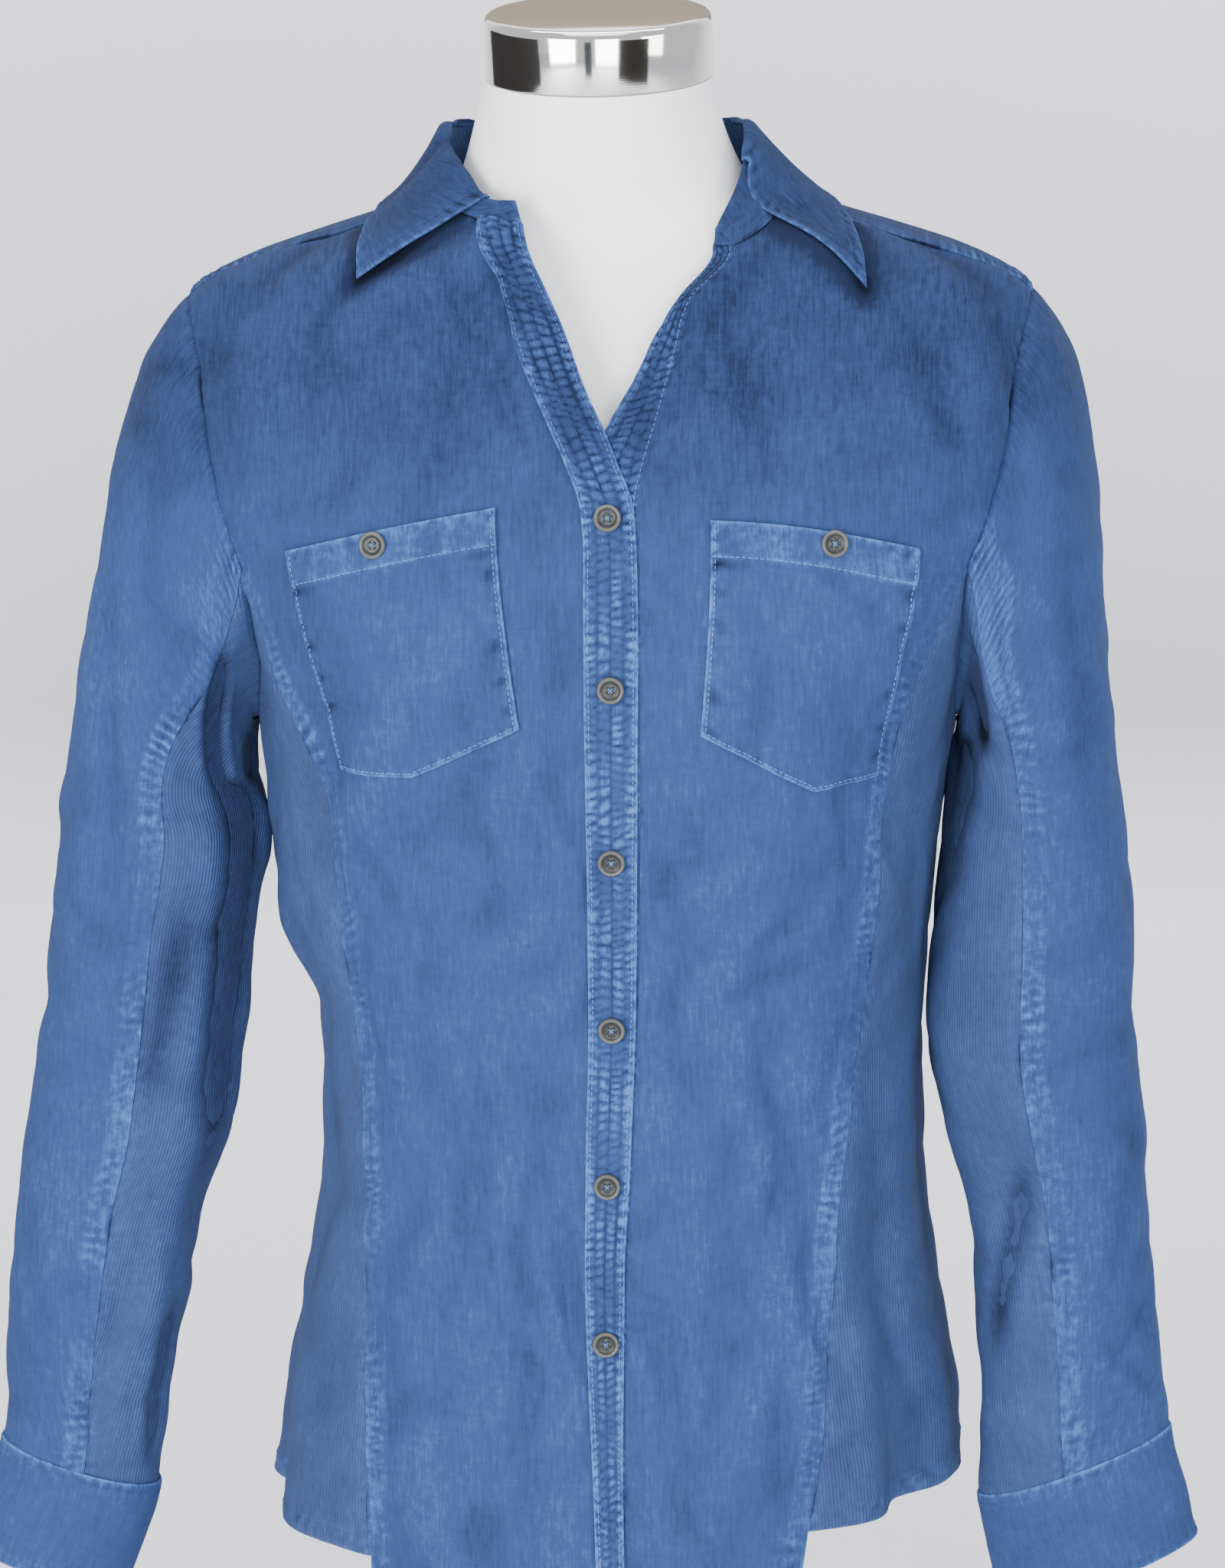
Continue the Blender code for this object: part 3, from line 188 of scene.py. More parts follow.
def clothFinish(name):
    look = clothLook[name]
    made, shader, wire = startFinish(name, look["mid"], 0.86)
    cut = wire.node("ShaderNodeUVMap", {"uv_map": "cut"})
    place = wire.node("ShaderNodeTexCoord", out="Object")
    wear, shade = wire.painted("wear"), wire.painted("shade")
    across = wire.node("ShaderNodeSeparateXYZ", values={0: cut})
    rib = across.sum("SINE", across * (2 * np.pi / look["rib"])) * 0.5 + 0.5
    slub, weft, thin, mottle = (
        wire.noise(cut, 1.0, detail, rough, (*stretch, 1)) for detail, rough, stretch in (
            (3, 0.65, (520, 62)), (3, 0.65, (85, 560)), (2, 0.6, (1300, 230)), (3, 0.65, (230, 190))))
    cloud, broad = wire.noise(place, 24.0, 4, 0.6), wire.noise(place, 8.0, 2, 0.5)
    # painted shade: the cloth is darker above the chest, by its height
    paintedUpperShade = wire.smooth(wire.node("ShaderNodeSeparateXYZ", values={0: place}, out=2), 0.67, 0.79)
    tone = (0.5 + (slub - 0.5) * look["streak"] * 2.2 + (weft - 0.5) * look["streak"] * 0.9
            + (thin - 0.5) * 0.20 + (mottle - 0.5) * 0.24 + (cloud - 0.5) * look["cloud"] * 1.9
            + (broad - 0.5) * 0.22 + (rib - 0.5) * 0.06 - paintedUpperShade * 0.23)
    worn = wear * (0.60 + (mottle - 0.5) * 2.2 + (thin - 0.5) * 0.8)
    # wear makes the colour paler; the shade attribute darkens it with painted shade
    tone = tone + worn * look["wear"] - shade * 0.50
    colour = wire.node("ShaderNodeValToRGB", {"stops": tuple(zip(
        (0.08, 0.34, 0.56, 0.98), (look["dark"], look["deep"], look["mid"], look["pale"])))}, {0: tone})
    # where the painted shade is strongest the colour is mixed toward near black
    paintedDeepShade = wire.smooth(shade, 0.55, 1.0)
    wire.mixed(paintedDeepShade * 0.9, colour, (0.0016, 0.0022, 0.0060, 1)).feed(shader, "Base Color")
    height = rib * look["ribDepth"] + thin * 0.35 + slub * 0.35 + weft * 0.3 + mottle * 0.8
    height.bump(shader, 0.5, 0.0006)
    for name, value in (("Sheen Weight", 0.03), ("Sheen Roughness", 0.5),
                        ("Sheen Tint", (0.55, 0.72, 1.0, 1)), ("Specular IOR Level", 0.05)):
        shader.inputs[name].default_value = value
    return made


# The smooth curve from one place to another that leaves and arrives along two given slopes.
def hermite(t, first, last, leave, arrive):
    return ((1 + 2 * t) * (1 - t) ** 2 * first + t * (1 - t) ** 2 * leave
            + t**2 * (3 - 2 * t) * last + t**2 * (t - 1) * arrive)


def skinFinish():
    # satin white shell: faint orange peel and a trace of handling
    made, shader, wire = startFinish("white skin", (0.86, 0.865, 0.87), 0.42)
    place = wire.node("ShaderNodeTexCoord", out="Object")
    cloud = wire.noise(place, 9.0, 3)
    wire.mixed(cloud, (0.845, 0.855, 0.865, 1), (0.875, 0.875, 0.880, 1)).feed(shader, "Base Color")
    (0.36 + cloud * 0.14).feed(shader, "Roughness")
    wire.noise(place, 260.0, 2).bump(shader, 0.12, 0.0002)
    return made


def chromeFinish():
    # turned metal: fine rings and a few dull patches
    made, shader, wire = startFinish("chrome", (0.70, 0.68, 0.65), 0.1, 1.0)
    place = wire.node("ShaderNodeTexCoord", out="Object")
    ring = wire.noise(place, 1.0, 2, 0.5, (6, 6, 1900))
    (0.03 + ring * 0.05 + wire.noise(place, 35.0, 3) * 0.05).feed(shader, "Roughness")
    ring.bump(shader, 0.08, 0.0001)
    return made


def buttonFinish():
    # dyed shell-like plastic: mottled grey, paler where the rim is rubbed
    made, shader, wire = startFinish("button grey", (0.15, 0.16, 0.17), 0.4)
    mottle = wire.noise(wire.node("ShaderNodeTexCoord", out="Object"), 420.0, 3)
    stops = ((0.10, (0.004, 0.005, 0.006)), (0.45, (0.015, 0.017, 0.017)), (0.75, (0.034, 0.036, 0.033)),
             (1.00, (0.075, 0.077, 0.070)))
    tone = wire.painted("wear") * 0.75 + mottle * 0.28
    wire.node("ShaderNodeValToRGB", {"stops": stops}, {0: tone}).feed(shader, "Base Color")
    (0.28 + mottle * 0.25).feed(shader, "Roughness")
    shader.inputs["Specular IOR Level"].default_value = 0.35
    return made


# ---- the garment's tables, as in the CAD

class Table:
    # Rows of named sizes, read smoothly between the rows by the first column. Columns in mm turn into metres.
    def __init__(self, names, *rows):
        self.names = [name.removesuffix("_mm") for name in names.split()]
        units = [1000 if name.endswith("_mm") else 1 for name in names.split()]
        self.rows = np.array(sorted(rows), float) / units

    def __call__(self, name, at):
        places, sizes = self.rows[:, 0], self.rows[:, self.names.index(name)]
        step = np.diff(places)
        slope = np.diff(sizes) / step
        before, after = 2 * step[1:] + step[:-1], step[1:] + 2 * step[:-1]
        turns = slope[1:] * slope[:-1] <= 0
        low, high = np.where(turns, 1, slope[:-1]), np.where(turns, 1, slope[1:])
        middle = np.where(turns, 0, (before + after) / (before / low + after / high))
        tangent = np.concatenate(([slope[0]], middle, [slope[-1]]))
        at = np.clip(at, places[0], places[-1])
        i = np.clip(np.searchsorted(places, at, side="right") - 1, 0, len(places) - 2)
        return hermite((at - places[i]) / step[i], sizes[i], sizes[i + 1],
                       step[i] * tangent[i], step[i] * tangent[i + 1])


cloth = dict(wall=0.0014, layerGap=0.0007, pocketLift=0.0023, cuffLift=0.0018)
hems = dict(front=0.150, frontSide=0.160, left=0.206, right=0.186)
seams = dict(backYoke=0.745, frontApex=112, backApex=-115, yokeFront=10, yokeBack=-70, yokeAtNeck=72,
             overlap=1.6, sleeveFront=96, sleeveBack=-98, sleeveTop=0.562, inCuff=0.008, standCorner=-139.5)

body = Table(
    "height_mm half_width_mm front_mm back_mm square",
    (150, 170, 129, 126, 2.3), (200, 169.5, 127, 120, 2.3), (235, 168, 124, 116, 2.3),
    (275, 163, 120.5, 111, 2.3), (320, 156, 118, 105, 2.3), (380, 148.5, 115, 97, 2.3),
    (430, 148.5, 115, 93.5, 2.3), (480, 151.5, 119, 93, 2.3), (530, 157, 125.5, 95.5, 2.4),
    (580, 164, 131.5, 100, 2.5), (630, 174, 134.5, 104.5, 2.6), (670, 184.5, 133, 107.5, 2.8),
    (710, 194.5, 127, 109, 2.9), (750, 201, 115, 107, 2.8), (780, 204.5, 103, 101, 2.6),
    (797, 206, 95.5, 96.5, 2.4), (806, 204, 91.5, 93, 2.2), (815.5, 194, 89, 90.5, 2.15),
    (825, 174, 86.5, 88.5, 2.1), (834.5, 145, 83.8, 85.5, 2.1), (845, 111, 79, 80, 2.05),
    (857, 76.5, 71.5, 69, 2), (870, 66, 65, 62, 2),
)

foldColumns = "angle_top top_mm rise_top_mm angle_foot foot_mm rise_foot_mm width fade_mm"
bodyFolds = named(foldColumns, (
    (-89, 600, 8.5, -89, 495, 16.5, 24, 45), (90, 560, 0.6, 90, 400, 2, 25, 50),
    (-92, 370, 1, -92, 150, 4.8, 30, 50), (90, 370, 0, 90, 150, -3, 30, 50),
    (3, 330, -1, 4, 150, -10, 10, 50), (-12, 400, -2, -14, 200, -4, 6, 60),
    (22, 330, 1, 20, 150, 5.5, 11, 60), (-98, 300, 1, -100, 181, 15, 12, 30),
    (-85, 300, 0, -88, 181, -13, 7, 30), (-70, 320, 1, -71, 181, 7, 11, 30),
    (90, 300, 0, 92, 198, 2, 12, 30), (64, 360, -2, 65, 198, -14.5, 7, 30), (53, 330, 0, 54, 198, 4, 8, 30),
    (112, 330, 0, 113, 198, -8, 8, 30), (-113, 330, 0, -114, 181, -7, 8, 30),
    (-30, 822, -5, -19, 740, -2, 5, 30), (-47, 640, -2, -60, 560, -4.5, 7, 40),
    (48, 640, -2, 60, 560, -4, 7, 40), (150, 700, 0, 158, 480, -5, 9, 80),
    (-150, 700, 0, -158, 480, -5, 9, 80), (180, 420, 0, 180, 150, 6, 16, 60),
))

seamAngles = Table(
    "height_mm front_left front_right back",
    (150, 37, 50, 128), (200, 40.3, 51.6, 127), (250, 44.4, 53, 125), (300, 47.4, 55, 123),
    (360, 51.3, 57.6, 120), (420, 55.4, 59.2, 118), (480, 58.2, 58.8, 117), (530, 57.8, 57.2, 117),
    (565, 57.2, 57.4, 117), (600, 57.6, 59.5, 116), (630, 59.2, 62.8, 114), (660, 62.6, 65.2, 111),
    (682.5, 67, 67, 109),
)

armhole = Table(
    "round angle height_mm",
    (-181, 91.5, 592), (-160, 99.5, 602), (-135, 106.5, 645), (-115, 109, 682.5), (-90, 109.5, 715),
    (-70, 108, 745), (-40, 103.5, 779), (-15, 97, 800), (0, 90.5, 806.5), (10, 86.8, 805), (30, 80.2, 789),
    (50, 76.8, 765), (70, 74.4, 740), (88, 71.7, 718), (102, 69, 702), (112, 67, 682.5), (135, 72.5, 640),
    (160, 82, 602), (181, 91.5, 592),
)

sleeveHead = Table(
    "round out forward up pull",
    (-181, 0.6, 0, 0.8, 1.1), (-140, 0.9, -0.3, -0.35, 0.6), (-115, 0.45, -0.25, -0.85, 0.45),
    (-90, 0.58, -0.3, -0.76, 0.57), (-45, 0.74, -0.22, -0.62, 0.62), (0, 0.8, 0, -0.6, 0.62),
    (45, 0.74, 0.22, -0.62, 0.62), (90, 0.58, 0.3, -0.76, 0.57), (112, 0.45, 0.25, -0.85, 0.45),
    (140, 0.9, 0.3, -0.35, 0.6), (181, 0.6, 0, 0.8, 1.1),
)

ringColumns = "height_mm out_mm forward_mm half_width_mm half_depth_mm lean"
sleeveRings = {
    left: Table(
        ringColumns,
        (562, 206.9, 4, 41, 56, 0), (530, 207.4, 6, 45, 55, 0), (480, 206.8, 9, 49.2, 52, 0),
        (440, 206, 12, 51, 49, 0), (396, 211.4, 15, 49.2, 45.5, 2), (346, 220, 18, 44.2, 41.5, 5),
        (300, 223.2, 21, 44.5, 38, 9), (260, 225.6, 23, 45.6, 33, 15), (214.5, 228, 25, 49, 22.5, 22),
        (155, 241, 27, 50.8, 20.5, 22.6),
    ),
    right: Table(
        ringColumns,
        (562, 228.5, 4, 47.1, 56, 0), (545, 227.3, 5, 51.2, 55.5, 0), (526, 229, 6, 51.8, 54.5, 0),
        (497, 233.7, 8, 49.9, 53, 0), (456, 239, 11, 50.5, 50, 0), (420, 244.3, 13, 50.2, 47.5, 1),
        (394, 248.3, 15, 50.3, 45.5, 2), (348, 259.2, 18, 46, 41.5, 4), (300, 267.2, 21, 43.5, 37.5, 8),
        (255, 274.5, 23, 41.2, 32, 13), (210.5, 279, 25, 39.6, 22.5, 18), (153, 300, 27, 40.5, 20.5, 20),
    ),
}
seamSwing = {left: 5.0, right: 9.0}
sleeveFoot = {left: 0.155, right: 0.153}
cuffTop = {left: 0.2145, right: 0.2105}

sleeveFolds = {
    left: named(foldColumns, (
        (120, 400, -1, 100, 270, -5, 14, 30), (20, 300, -2, 60, 262, -4, 12, 20),
        (40, 276, 2, 80, 240, 3.5, 14, 20), (150, 700, -1, 140, 580, -4, 16, 40),
        (-60, 470, -1, -120, 400, -5, 16, 30), (0, 450, -2, -30, 420, -3, 12, 30),
    )),
    right: named(foldColumns, (
        (60, 700, -2, 64, 540, -4.5, 12, 60), (118, 330, -1, 100, 240, -6.5, 12, 30),
        (140, 380, 1, 130, 300, 3.5, 14, 30), (-60, 470, -1, -120, 400, -5, 16, 30),
        (10, 450, -1, -30, 420, -3, 12, 30),
    )),
}

bands = Table(
    "height_mm upper_seam upper_free under_seam under_free sink_mm",
    (150, -3.8, 2.6, 3.2, -1.4, 0), (224, -4.4, 2.6, 3.2, -2, 0), (300, -5.4, 3.4, 4, -3, 0),
    (343, -5.6, 3.9, 4.5, -3.2, 0), (400, -5, 5.7, 6.3, -2.6, 0), (482, -3.6, 7.4, 8, -1.2, 0),
    (600, -2.7, 8, 8.6, -0.3, 0), (700, -2.5, 8.6, 9.2, -0.1, 0), (720, -3.3, 8.3, 9.2, -0.7, 0),
    (741, -7.1, 5, 11.6, -1.2, 0), (755.4, -10.8, 2.1, 14.3, 2.1, 0), (774, -16, -2.8, 18, 8.2, 1),
    (793, -21.7, -7.4, 22.2, 15.4, 5), (812.5, -27.3, -13.3, 26.9, 25.6, 11),
    (837.2, -36.6, -22, 40.5, 39.5, 13), (849.3, -42, -26.3, 40.5, 39.5, 13),
)

collar = Table(
    "round height_mm roll_x_mm roll_y_mm roll_z_mm edge_x_mm edge_y_mm edge_z_mm dip_mm",
    (-140.5, 836.6, 55, -62.5, 840.8, 125.8, -70, 815.5, 6),
    (-139.5, 837.2, 56.5, -60, 845, 125.8, -70, 815.5, 6),
    (-125, 845.5, 64, -43, 862, 125.8, -70, 815.5, 6),
    (-115.9, 849.8, 66.8, -32, 872, 125.8, -70, 815.5, 6),
    (-105, 853.5, 67.5, -19, 880, 120, -40, 838.5, 1), (-90, 857, 66.5, -3, 885.5, 111, -4, 849, 2),
    (-60, 861, 57, 30, 883.5, 90.5, 43, 851, 2), (-30, 864, 33.5, 55, 881.5, 50, 74.5, 850, 2),
    (0, 865, -4, 63, 881, -3, 85.5, 848, 2), (30, 864, -41, 54, 881.5, -56, 74.5, 850, 2),
    (60, 861, -65, 30, 883.5, -92.5, 43, 851, 2), (90, 857, -76.5, -3, 886, -111, -4, 849, 3),
    (108, 854, -74.5, -24, 877.5, -115, -35, 840.5, 2), (125, 851.5, -66, -42, 869, -115, -58, 829, 1),
    (140, 849, -54, -56, 858, -115.8, -70.5, 821.5, 0),
    (147, 848, -48, -61, 857.5, -115.8, -70.5, 821.5, 0),
    (153.7, 847.1, -40, -65, 858.5, -115.8, -70.5, 821.5, 0),
)
fall = dict(ends=(-116, 141), knee=(-0.0035, -0.0075, -0.0020), corner=(-0.0025, -0.0010, -0.0030),
            offShirt=0.0029, rollRise=0.0022, rollOut=0.0038)

pocket = {
    left: dict(innerTop=(23.4, 0.7150), outerTop=(55.6, 0.6978), innerFoot=(20.1, 0.6139),
               outerFoot=(54.6, 0.5856), point=(41.0, 0.5828), button=(43.0, 0.7029), arch=(0, 0.0040)),
    right: dict(innerTop=(20.9, 0.7207), outerTop=(55.3, 0.6971), innerFoot=(15.4, 0.6172),
                outerFoot=(52.3, 0.5890), point=(36.4, 0.5909), button=(40.9, 0.7030), arch=(0, 0.0028)),
}
button = dict(radius=0.0066, thickness=0.0026, heights=(0.716, 0.6365, 0.552, 0.466, 0.386, 0.306))

form = Table(
    "height_mm centre_x_mm centre_y_mm half_width_mm front_mm back_mm square lean",
    (205, 0, 0, 118, 90, 86, 2.1, 0), (213, 0, 0, 143, 108, 101, 2.2, 0),
    (235, 0, 0, 155.5, 115, 107, 2.3, 0), (275, 0, 0, 154, 112.5, 103, 2.3, 0),
    (330, 0, 0, 147, 109, 96, 2.3, 0), (400, 0, 0, 141.5, 108, 88.5, 2.3, 0),
    (460, 0, 0, 142.5, 110, 86, 2.3, 0), (530, 0, 0, 149, 118, 88, 2.4, 0),
    (590, 0, 0, 158, 124.5, 93, 2.5, 0), (650, 0, 0, 169, 125.5, 98, 2.6, 0),
    (700, 0, 0, 179, 116.5, 101, 2.7, 0), (740, 0, 0, 186, 101, 99.5, 2.7, 0),
    (770, 0, 0, 189.5, 86, 95, 2.6, 0), (795, 0, 0, 190.5, 75, 89, 2.4, 0),
    (806, 0, 0, 189.5, 70, 85, 2.2, 0), (815.5, 0, 0, 184, 66.5, 82, 2.1, 0),
    (823.5, 0, 0, 171, 64, 79, 2, 0), (833, 0, 0, 144, 61, 75, 2, 0), (843.5, 0, 0, 110, 59, 68, 2, 0),
    (857, -1, -2, 73.5, 59, 59, 2, 0), (868, -3, -4, 67.5, 59, 56, 2, 1),
    (894, -4, -9, 58.8, 56.5, 56, 2, 3), (912, -3, -12, 55, 55, 55, 2, 5),
)
stand = dict(capRadius=0.0553, capHeight=0.031, capTilt=5.0, postRadius=0.0125, baseRadius=0.16,
             baseHeight=0.012)


# ---- the garment's surfaces, as in the CAD

def unit(vectors):
    return vectors / np.maximum(np.linalg.norm(vectors, axis=-1, keepdims=True), 1e-12)


def ease(t):
    t = np.clip(t, 0, 1)
    return t * t * (3 - 2 * t)


# The rise of all folds at an angle and a height: each is a bell across, eased at its ends.
def foldRise(folds, across, height):
    total = 0 * across * height
    for fold in folds:
        down = np.clip((fold["top"] - height) / (fold["top"] - fold["foot"]), 0, 1)
        middle = fold["angle_top"] + down * (fold["angle_foot"] - fold["angle_top"])
        rise = fold["rise_top"] + down * (fold["rise_foot"] - fold["rise_top"])
        ends = (ease(1 + (fold["top"] - height) / fold["fade"])
                * ease(1 + (height - fold["foot"]) / fold["fade"]))
        away = (across - middle + 180) % 360 - 180
        total = total + rise * ends * np.exp(-((away / fold["width"]) ** 2))
    return total


# The radius of a rounded box: its side and depth shares, to the power square, add up to 1.
def ringRadius(table, turn, height):
    depth = np.where(np.cos(turn) > 0, table("front", height), table("back", height))
    square = table("square", height)
    shares = (np.abs(np.sin(turn)) / table("half_width", height)) ** square
    shares = shares + (np.abs(np.cos(turn)) / depth) ** square
    return shares ** (-1 / square)


# The shirt's body: the rounded box's radius and the folds, turned to an angle and lifted to a height.
def onBody(angle, height):
    angle, height = np.broadcast_arrays(np.asarray(angle, float), np.asarray(height, float))
    turn = np.radians(angle)
    radius = ringRadius(body, turn, height) + foldRise(bodyFolds, angle, height)
    return np.stack((radius * np.sin(turn), -radius * np.cos(turn), height), -1)


# A surface's unit normal, the cross product of small steps along its two parameters.
def normalOf(surface, u, v, stepU, stepV):
    alongU = surface(u + stepU, v) - surface(u - stepU, v)
    alongV = surface(u, v + stepV) - surface(u, v - stepV)
    return unit(np.cross(alongU, alongV))


def bodyNormal(angle, height):
    return normalOf(onBody, np.asarray(angle, float), np.asarray(height, float), 0.4, 0.0008)


# A point of a sleeve's ring: an ellipse with folds, tipped by its lean.
def ringPlace(side, around, height):
    size = sleeveRings[side]
    turn, lean = np.radians(around), np.radians(size("lean", height))
    grow = foldRise(sleeveFolds[side], around, height)
    across = (size("half_width", height) + grow) * np.cos(turn)
    out = size("out", height) + across * np.cos(lean)
    forward = size("forward", height) + (size("half_depth", height) + grow) * np.sin(turn)
    return np.stack((side * out, -forward, height + across * np.sin(lean)), -1)


# A sleeve: from 0 to 1 along, a Hermite curve leaves the armhole and ends along the sleeve; from 1 to
# 2, rings go down to the cuff's foot.
def onSleeve(side):
    def surface(around, along):
        around, along = np.broadcast_arrays(np.asarray(around, float), np.asarray(along, float))
        around = (around + 180) % 360 - 180
        down = seams["sleeveTop"] - np.clip(along - 1, 0, 1.05) * (seams["sleeveTop"] - sleeveFoot[side])
        start = onBody(side * armhole("angle", around), armhole("height", around))
        top = ringPlace(side, around, np.full_like(down, seams["sleeveTop"]))
        reach = np.linalg.norm(top - start, axis=-1, keepdims=True)
        head = np.stack([sleeveHead(name, around) for name in ("out", "forward", "up")], -1)
        leave = unit(head) * (side, -1, 1) * reach * sleeveHead("pull", around)[..., None]
        below = ringPlace(side, around, np.full_like(down, seams["sleeveTop"] - 0.01))
        cap = hermite(np.clip(along, 0, 1)[..., None], start, top, leave, unit(below - top) * reach)
        return np.where(along[..., None] < 1, cap, ringPlace(side, around, down))
    return surface


def sleeveNormal(side, around, along):
    return side * normalOf(onSleeve(side), np.asarray(around, float), np.maximum(along, 0.004), 0.5, 0.003)


def collarPlace(stem, around):
    return np.stack([collar(stem + end, around) for end in ("_x", "_y", "_z")], -1)


# The line where the collar meets the shirt's body, by the angle from the centre back.
def neckline(around):
    place = onBody(180 + np.asarray(around, float), collar("height", around))
    turnedIn = np.clip(seams["standCorner"] - np.asarray(around, float), 0, 1) * bands("sink", 0.8372)
    return place - unit(place * (1, 1, 0)) * turnedIn[..., None]


# The collar stand: straight lines from the neckline to the roll.
def onStand(around, up):
    around, up = np.broadcast_arrays(np.asarray(around, float), np.asarray(up, float))
    foot, roll = neckline(around), collarPlace("roll", around)
    return foot + (roll - foot) * up[..., None]


def standNormal(around, up):
    return normalOf(onStand, np.maximum(around, seams["standCorner"] + 0.5), np.asarray(up, float), 0.4, 0.02)


# The collar fall's underside: a parabola from beside the roll to the edge, bent by the dip.
def onFall(around, down):
    around, down = np.broadcast_arrays(np.asarray(around, float), np.asarray(down, float))
    roll, edge = collarPlace("roll", around), collarPlace("edge", around)
    away = unit((edge - roll) * (1, 1, 0))
    start = roll + away * fall["rollOut"] + np.array((0, 0, fall["rollRise"] * 0.4))
    chord = unit(edge - start)
    inside = unit(np.array((0, 0, -1.0)) + chord * chord[..., 2:3])
    middle = (start + edge) / 2 + inside * 2 * collar("dip", around)[..., None]
    t = down[..., None]
    bend = ease((-around - 104) / 12)[..., None] * t * (1 - t) ** 3 / 0.105
    sharp = ease((-around - 108) / 8)[..., None] * t * (1 - t) ** 6 / 0.0567
    return ((1 - t) ** 2 * start + 2 * t * (1 - t) * middle + t**2 * edge + bend * fall["knee"]
            + sharp * fall["corner"])


# The points, moved out where they come nearer than that to the inner face of the shirt's body.
def keptOff(points, least):
    angle = np.degrees(np.arctan2(points[..., 0], -points[..., 1]))
    normal = bodyNormal(angle, points[..., 2])
    beyond = (points - onBody(angle, points[..., 2])) * (1, 1, 0)
    short = least - np.sum(beyond * normal, axis=-1, keepdims=True)
    return points + normal * (short + np.sqrt(short**2 + 0.0008**2)) / 2


def armholeDirection(side, around):
    around = np.asarray(around, float)
    bodySide = bodyNormal(side * armhole("angle", around), armhole("height", around))
    return unit(bodySide + sleeveNormal(side, around, np.full_like(around, 0.004)))


def neckDirection(around):
    around = np.asarray(around, float)
    bodySide = bodyNormal(180 + around, collar("height", around))
    return unit(bodySide + standNormal(around, np.full_like(around, 0.03)))


def pairs(angle, height):
    return np.stack(np.broadcast_arrays(np.asarray(angle, float), np.asarray(height, float)), -1)


def armholePlaces(side, around):
    return pairs(side * armhole("angle", around), armhole("height", around))


# ---- the edges that the panels share, with the CAD's shares along them

fine = 10   # points for each of the CAD's steps
aroundFront = np.linspace(seams["frontApex"], seams["yokeFront"], 6 * fine + 1)
aroundYoke = np.linspace(seams["yokeBack"], seams["yokeFront"], 4 * fine + 1)
aroundBack = np.linspace(seams["backApex"], seams["yokeBack"], 3 * fine + 1)
aroundUnder = np.linspace(seams["frontApex"], seams["backApex"] + 360, 10 * fine + 1)
sideHem = {left: hems["left"], right: hems["right"]}


def seamHeights(side):
    tail = np.linspace(hems["frontSide"], sideHem[side], 2 * fine + 1)[:-1]
    return np.concatenate((tail, np.linspace(sideHem[side], seamAngles.rows[-1, 0], 17 * fine + 1)))


def centreHeights(side):
    top = collar("height", 138.0 if side == right else -139.5)
    low = np.linspace(hems["front"], 0.700, 19 * fine + 1)
    return np.concatenate((low, np.linspace(0.700, float(top), 6 * fine + 1)[1:]))


def frontEdge(side):
    heights = centreHeights(side)
    if side == left:
        return pairs(bands("under_seam", heights), heights)
    return pairs(bands("upper_seam", heights) + seams["overlap"], heights)


def yokeSeam(side):
    atNeck = seams["yokeAtNeck"]
    start = pairs(side * atNeck, collar("height", -side * (180.0 - atNeck)))
    end = armholePlaces(side, float(seams["yokeFront"]))
    share = np.linspace(0, 1, 6 * fine + 1)
    return pairs(start[0] + (end[0] - start[0]) * share**0.62, start[1] + (end[1] - start[1]) * share)


def frontNeckRounds(side):
    atBand, atYoke = 180 - abs(frontEdge(side)[-1, 0]), 180 - seams["yokeAtNeck"]
    share = np.linspace(0, 1, 4 * fine + 1) ** 1.4
    return -side * (atBand + (atYoke - atBand) * share)


# ---- fine walls of cloth

nearEdge = np.array((0, 0.0005, 0.0011, 0.0019, 0.0029, 0.0041, 0.0053, 0.0066, 0.0082, 0.0102))

# For each kind of edge: rounding at the edge, ridge over a turned allowance and its width, stitch line,
# puckers along it with their wave and reach, how far the edge laps over its neighbour, and the wear of
# the strip and of the very edge.
edgeKinds = dict(zip("welt plain free patch binding hem under".split(), named(
    "groove_mm ridge_mm ridgeWidth_mm stitch_mm pucker_mm wave_mm reach_mm lap_mm wear line", (
    (0.3, 0.6, 9.8, 6.0, 0.42, 5.6, 6, 0.5, 0.68, 0.22),
    (0.6, 0.0, 5.0, 0.0, 0.26, 7.0, 5, 0.0, 0.30, 0.00),
    (0.6, 0.0, 5.8, 4.5, 0.16, 7.5, 6, 0.0, 0.45, 0.85),
    (0.6, 0.0, 2.6, 2.2, 0.30, 8.5, 6, 0.0, 0.40, 1.20),
    (0.6, 0.0, 3.0, 2.2, 0.22, 5.5, 4, 0.0, 0.55, 0.75),
    (0.6, 0.6, 10.5, 9.2, 0.45, 9.5, 9, 0.0, 0.65, 0.80),
    (0.0, 0.0, 6.0, 0.0, 0.00, 10.0, 6, 0.0, 0.00, 0.00),
))))


stitchAt = dict(seam=0.0050, hem=0.0092, edge=0.0022, stand=0.0035, pocketHem=0.0165)  # from the edge
